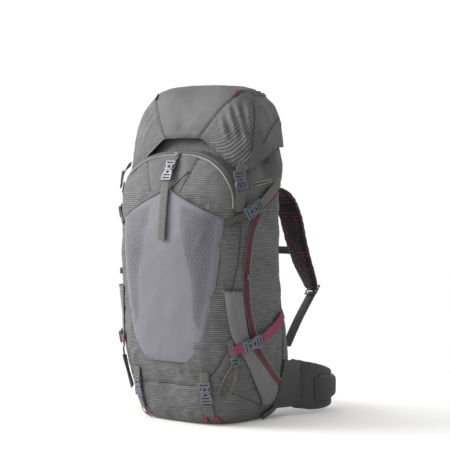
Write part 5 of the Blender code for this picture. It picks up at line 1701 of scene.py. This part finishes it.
def back_quilting(points, normals):
    x, z = points[:, 0], points[:, 2]
    outer = ease(normals[:, 1], 0.0, 0.6)
    middle = 1 - np.clip(np.abs(x) / 0.013, 0, 1) ** 2
    rows = np.max([1 - np.clip(np.abs(z - level - np.abs(x) * 0.35) / 0.009, 0, 1) ** 2 for level in
                   (0.235, 0.295, 0.355, 0.415)], axis=0)
    lines = np.maximum(np.clip(middle, 0, 1), np.clip(rows, 0, 1) * 0.8) * outer
    return np.maximum(lines, ease(-normals[:, 1], 0.2, 0.8)), lines * 0.0055


back = puffed("back_pad", "back_panel", 0.0050, back_quilting, 0.0035)
lined(back, (0, 1, 0))
dressed(back, black_mesh, "pack", "spacer_mesh", "back_panel")


def lumbar_quilting(points, normals):
    x = points[:, 0]
    outer = ease(normals[:, 1], 0.0, 0.6)
    lines = np.clip(1 - (np.abs(np.abs(x) - 0.030) / 0.010) ** 2, 0, 1) * outer
    return np.maximum(lines, ease(-normals[:, 1], 0.2, 0.8)), lines * 0.0060


lumbar = puffed("lumbar_cushion", "lumbar_pad", 0.0050, lumbar_quilting, 0.0035)
lined(lumbar, (0, 1, 0))
dressed(lumbar, black_mesh, "pack", "spacer_mesh", "lumbar_pad")


# Shoulder straps: cut to a curve, with the spotted mesh against the wearer. A web at the foot of each runs through an
# adjuster down to the pack, and a narrow one from the top keeps the load close.

STRAP_LINE = evenly(((0.064, 0.112, 0.468), (0.068, 0.152, 0.474), (0.078, 0.194, 0.459), (0.090, 0.212, 0.420),
                     (0.102, 0.216, 0.370), (0.112, 0.226, 0.320), (0.120, 0.241, 0.279), (0.120, 0.2525, 0.258)), 130)


def strap_quilting(points, normals):
    apart, _ = distance_to(points, STRAP_LINE)
    edge = ease(apart, 0.021, 0.027)
    return edge, edge * 0.0014


shoulder = puffed("shoulder_pad_right", "shoulder_strap_right", 0.0036, strap_quilting, 0.0022)
lined(shoulder, (0.0, -0.85, -0.5))
shoulder.data.materials.append(spotted_mesh)
other = turned_over(shoulder, "shoulder_pad_left")
for label, side, pad in (("right", 1, shoulder), ("left", -1, other)):
    turn = np.array((side, 1, 1))
    body = f"shoulder_strap_{label}"
    fit(pad, body, "spacer_mesh", body)
    top = np.array(((0.070, 0.156, 0.4885), (0.0665, 0.130, 0.513), (0.062, 0.098, 0.542))) * turn
    lifter = band(f"load_lifter_webbing_{label}", evenly(top, 16), (0, 0.7, 0.7), 0.015, 0.0018)
    lifter.data.materials.append(dark_webbing)
    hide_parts(f"load_lifter_{label}")
    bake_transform(lifter)
    foot, anchor = np.array((0.119, 0.257, 0.252)) * turn, np.array((0.138, 0.132, 0.147)) * turn
    route = evenly((foot, (foot + anchor) / 2 + (0, -0.004, 0), anchor), 24)
    lower = band(f"shoulder_foot_webbing_{label}", route, (0, 0.62, -0.78), 0.022, 0.0018)
    lower.data.materials.append(dark_webbing)
    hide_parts(f"shoulder_webbing_{label}")
    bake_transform(lower)
    ladder_lock(f"shoulder_lock_{label}", foot + (0, -0.001, 0.004), foot - anchor, (0, 0.62, -0.78), 0.026, 0.026,
                body)


# Hip belt: a foam wing on each side, faced in dark nylon, with a small pocket sewn on its outer face.
# The waist web runs on from each wing to one half of the wide buckle.

HIP_LINE = evenly(((0.132, 0.158), (0.148, 0.184), (0.158, 0.220), (0.154, 0.258), (0.135, 0.290), (0.102, 0.308)), 60)


def hip_quilting(points, normals):
    edge = ease(np.abs(normals[:, 2]), 0.45, 0.85)
    return np.maximum(edge, 1 - ease(points[:, 1], 0.158, 0.176)), edge * 0.0010


wing = puffed("hip_pad_right", "hip_wing_right", 0.0044, hip_quilting, 0.0025)
nearest = np.array([v.co for v in wing.data.vertices])
inward = np.array((0.0, 0.225)) - nearest[:, :2]
inward /= np.linalg.norm(inward, axis=1, keepdims=True)
sides = np.array([v.normal for v in wing.data.vertices])[:, :2]
mark(wing, "lining", ease((sides * inward).sum(axis=1), -0.1, 0.2))
wing.data.materials.append(black_mesh)


def pouch_quilting(points, normals):
    apart, _ = distance_to(np.column_stack([points[:, :2], np.zeros(len(points))]),
                           np.column_stack([HIP_LINE, np.zeros(len(HIP_LINE))]))
    held = 1 - ease(apart, 0.0095, 0.0125)
    return held, held * 0.0


pouch = puffed("hip_pouch_right", "hip_pocket_right", 0.0040, pouch_quilting, 0.0030)
mark(pouch, "lining", np.zeros(len(pouch.data.vertices)))
pouch.data.materials.append(plain_pad)
for label, pad, bag in (("right", wing, pouch), ("left", turned_over(wing, "hip_pad_left"),
                                                 turned_over(pouch, "hip_pouch_left"))):
    body = f"hip_belt_{label}"
    fit(pad, body, "dark_nylon", f"hip_wing_{label}")
    fit(bag, body, "dark_nylon", f"hip_pocket_{label}")


# Gussets: dark nylon between the pack's back corner and each wing of the belt.
# They are sewn to both and cut full enough for the wing to swing.

hip_nylon = ripstop_nylon("dark_hip_nylon", "#565556", "#1f1e1f", rib=0.0030, plain_mark=False)
for label, side in (("left", -1), ("right", 1)):
    turn = np.array((side, 1, 1))
    rows = []
    for share in np.linspace(0, 1, 24):
        low = side_at(np.array([0.086]), np.array([0.022 + 0.103 * share]), 0.0030)[0]
        ahead = HIP_LINE[7] - HIP_LINE[5]
        out = np.array((ahead[1], -ahead[0])) / np.linalg.norm(ahead)
        tip = np.array((*(HIP_LINE[6] + out * 0.0100), 0.020 + 0.096 * share))
        belly = np.array((0.003, 0.000, 0)) * np.sin(np.pi * share)
        rows.append([low + (tip - low) * t + belly * np.sin(np.pi * t) for t in np.linspace(0, 1, 14)])
    rows = np.array(rows) * turn
    cut = np.stack([rows[..., 1], rows[..., 2]], axis=-1)
    if side < 0:
        rows, cut = rows[:, ::-1], cut[:, ::-1]
    gusset = sewn_shell(f"hip_gusset_{label}", rows, cut, thickness=0.0014)
    gusset.data.materials.append(hip_nylon)
    applied(gusset)
    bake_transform(gusset)
for label, side in (("left", -1), ("right", 1)):
    turn = np.array((side, 1, 1))
    sewn = evenly(((0.0925, 0.3128, 0.051), (0.1040, 0.3166, 0.051), (0.1130, 0.3130, 0.051),
                   (0.1220, 0.3085, 0.051)), 18)
    trim(f"waist_web_end_{label}", sewn * turn, np.array((0.48, 0.88, 0)) * turn, 0.032, dark_webbing, "webbing",
         f"hip_belt_{label}", 0.0022)


# Lid hinge: a strip of nylon across the back that holds the lid on as it swings open.
# It is sewn to the bag below and inside the lid's hem above.

low = skin(BODY_ROWS, math.pi / 2, np.array([0.532]), 0.0022)[0]
high = skin(LID_ROWS, math.pi / 2, np.array([0.590]), -0.0030)[0]
middle = (low + high) / 2 + (0, 0.0006, 0)
flap = band("lid_hinge_strip", evenly((low, middle, high), 24), (0, 1, 0), 0.150, 0.0014)
flap.data.materials.append(dark_tape)
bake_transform(flap)
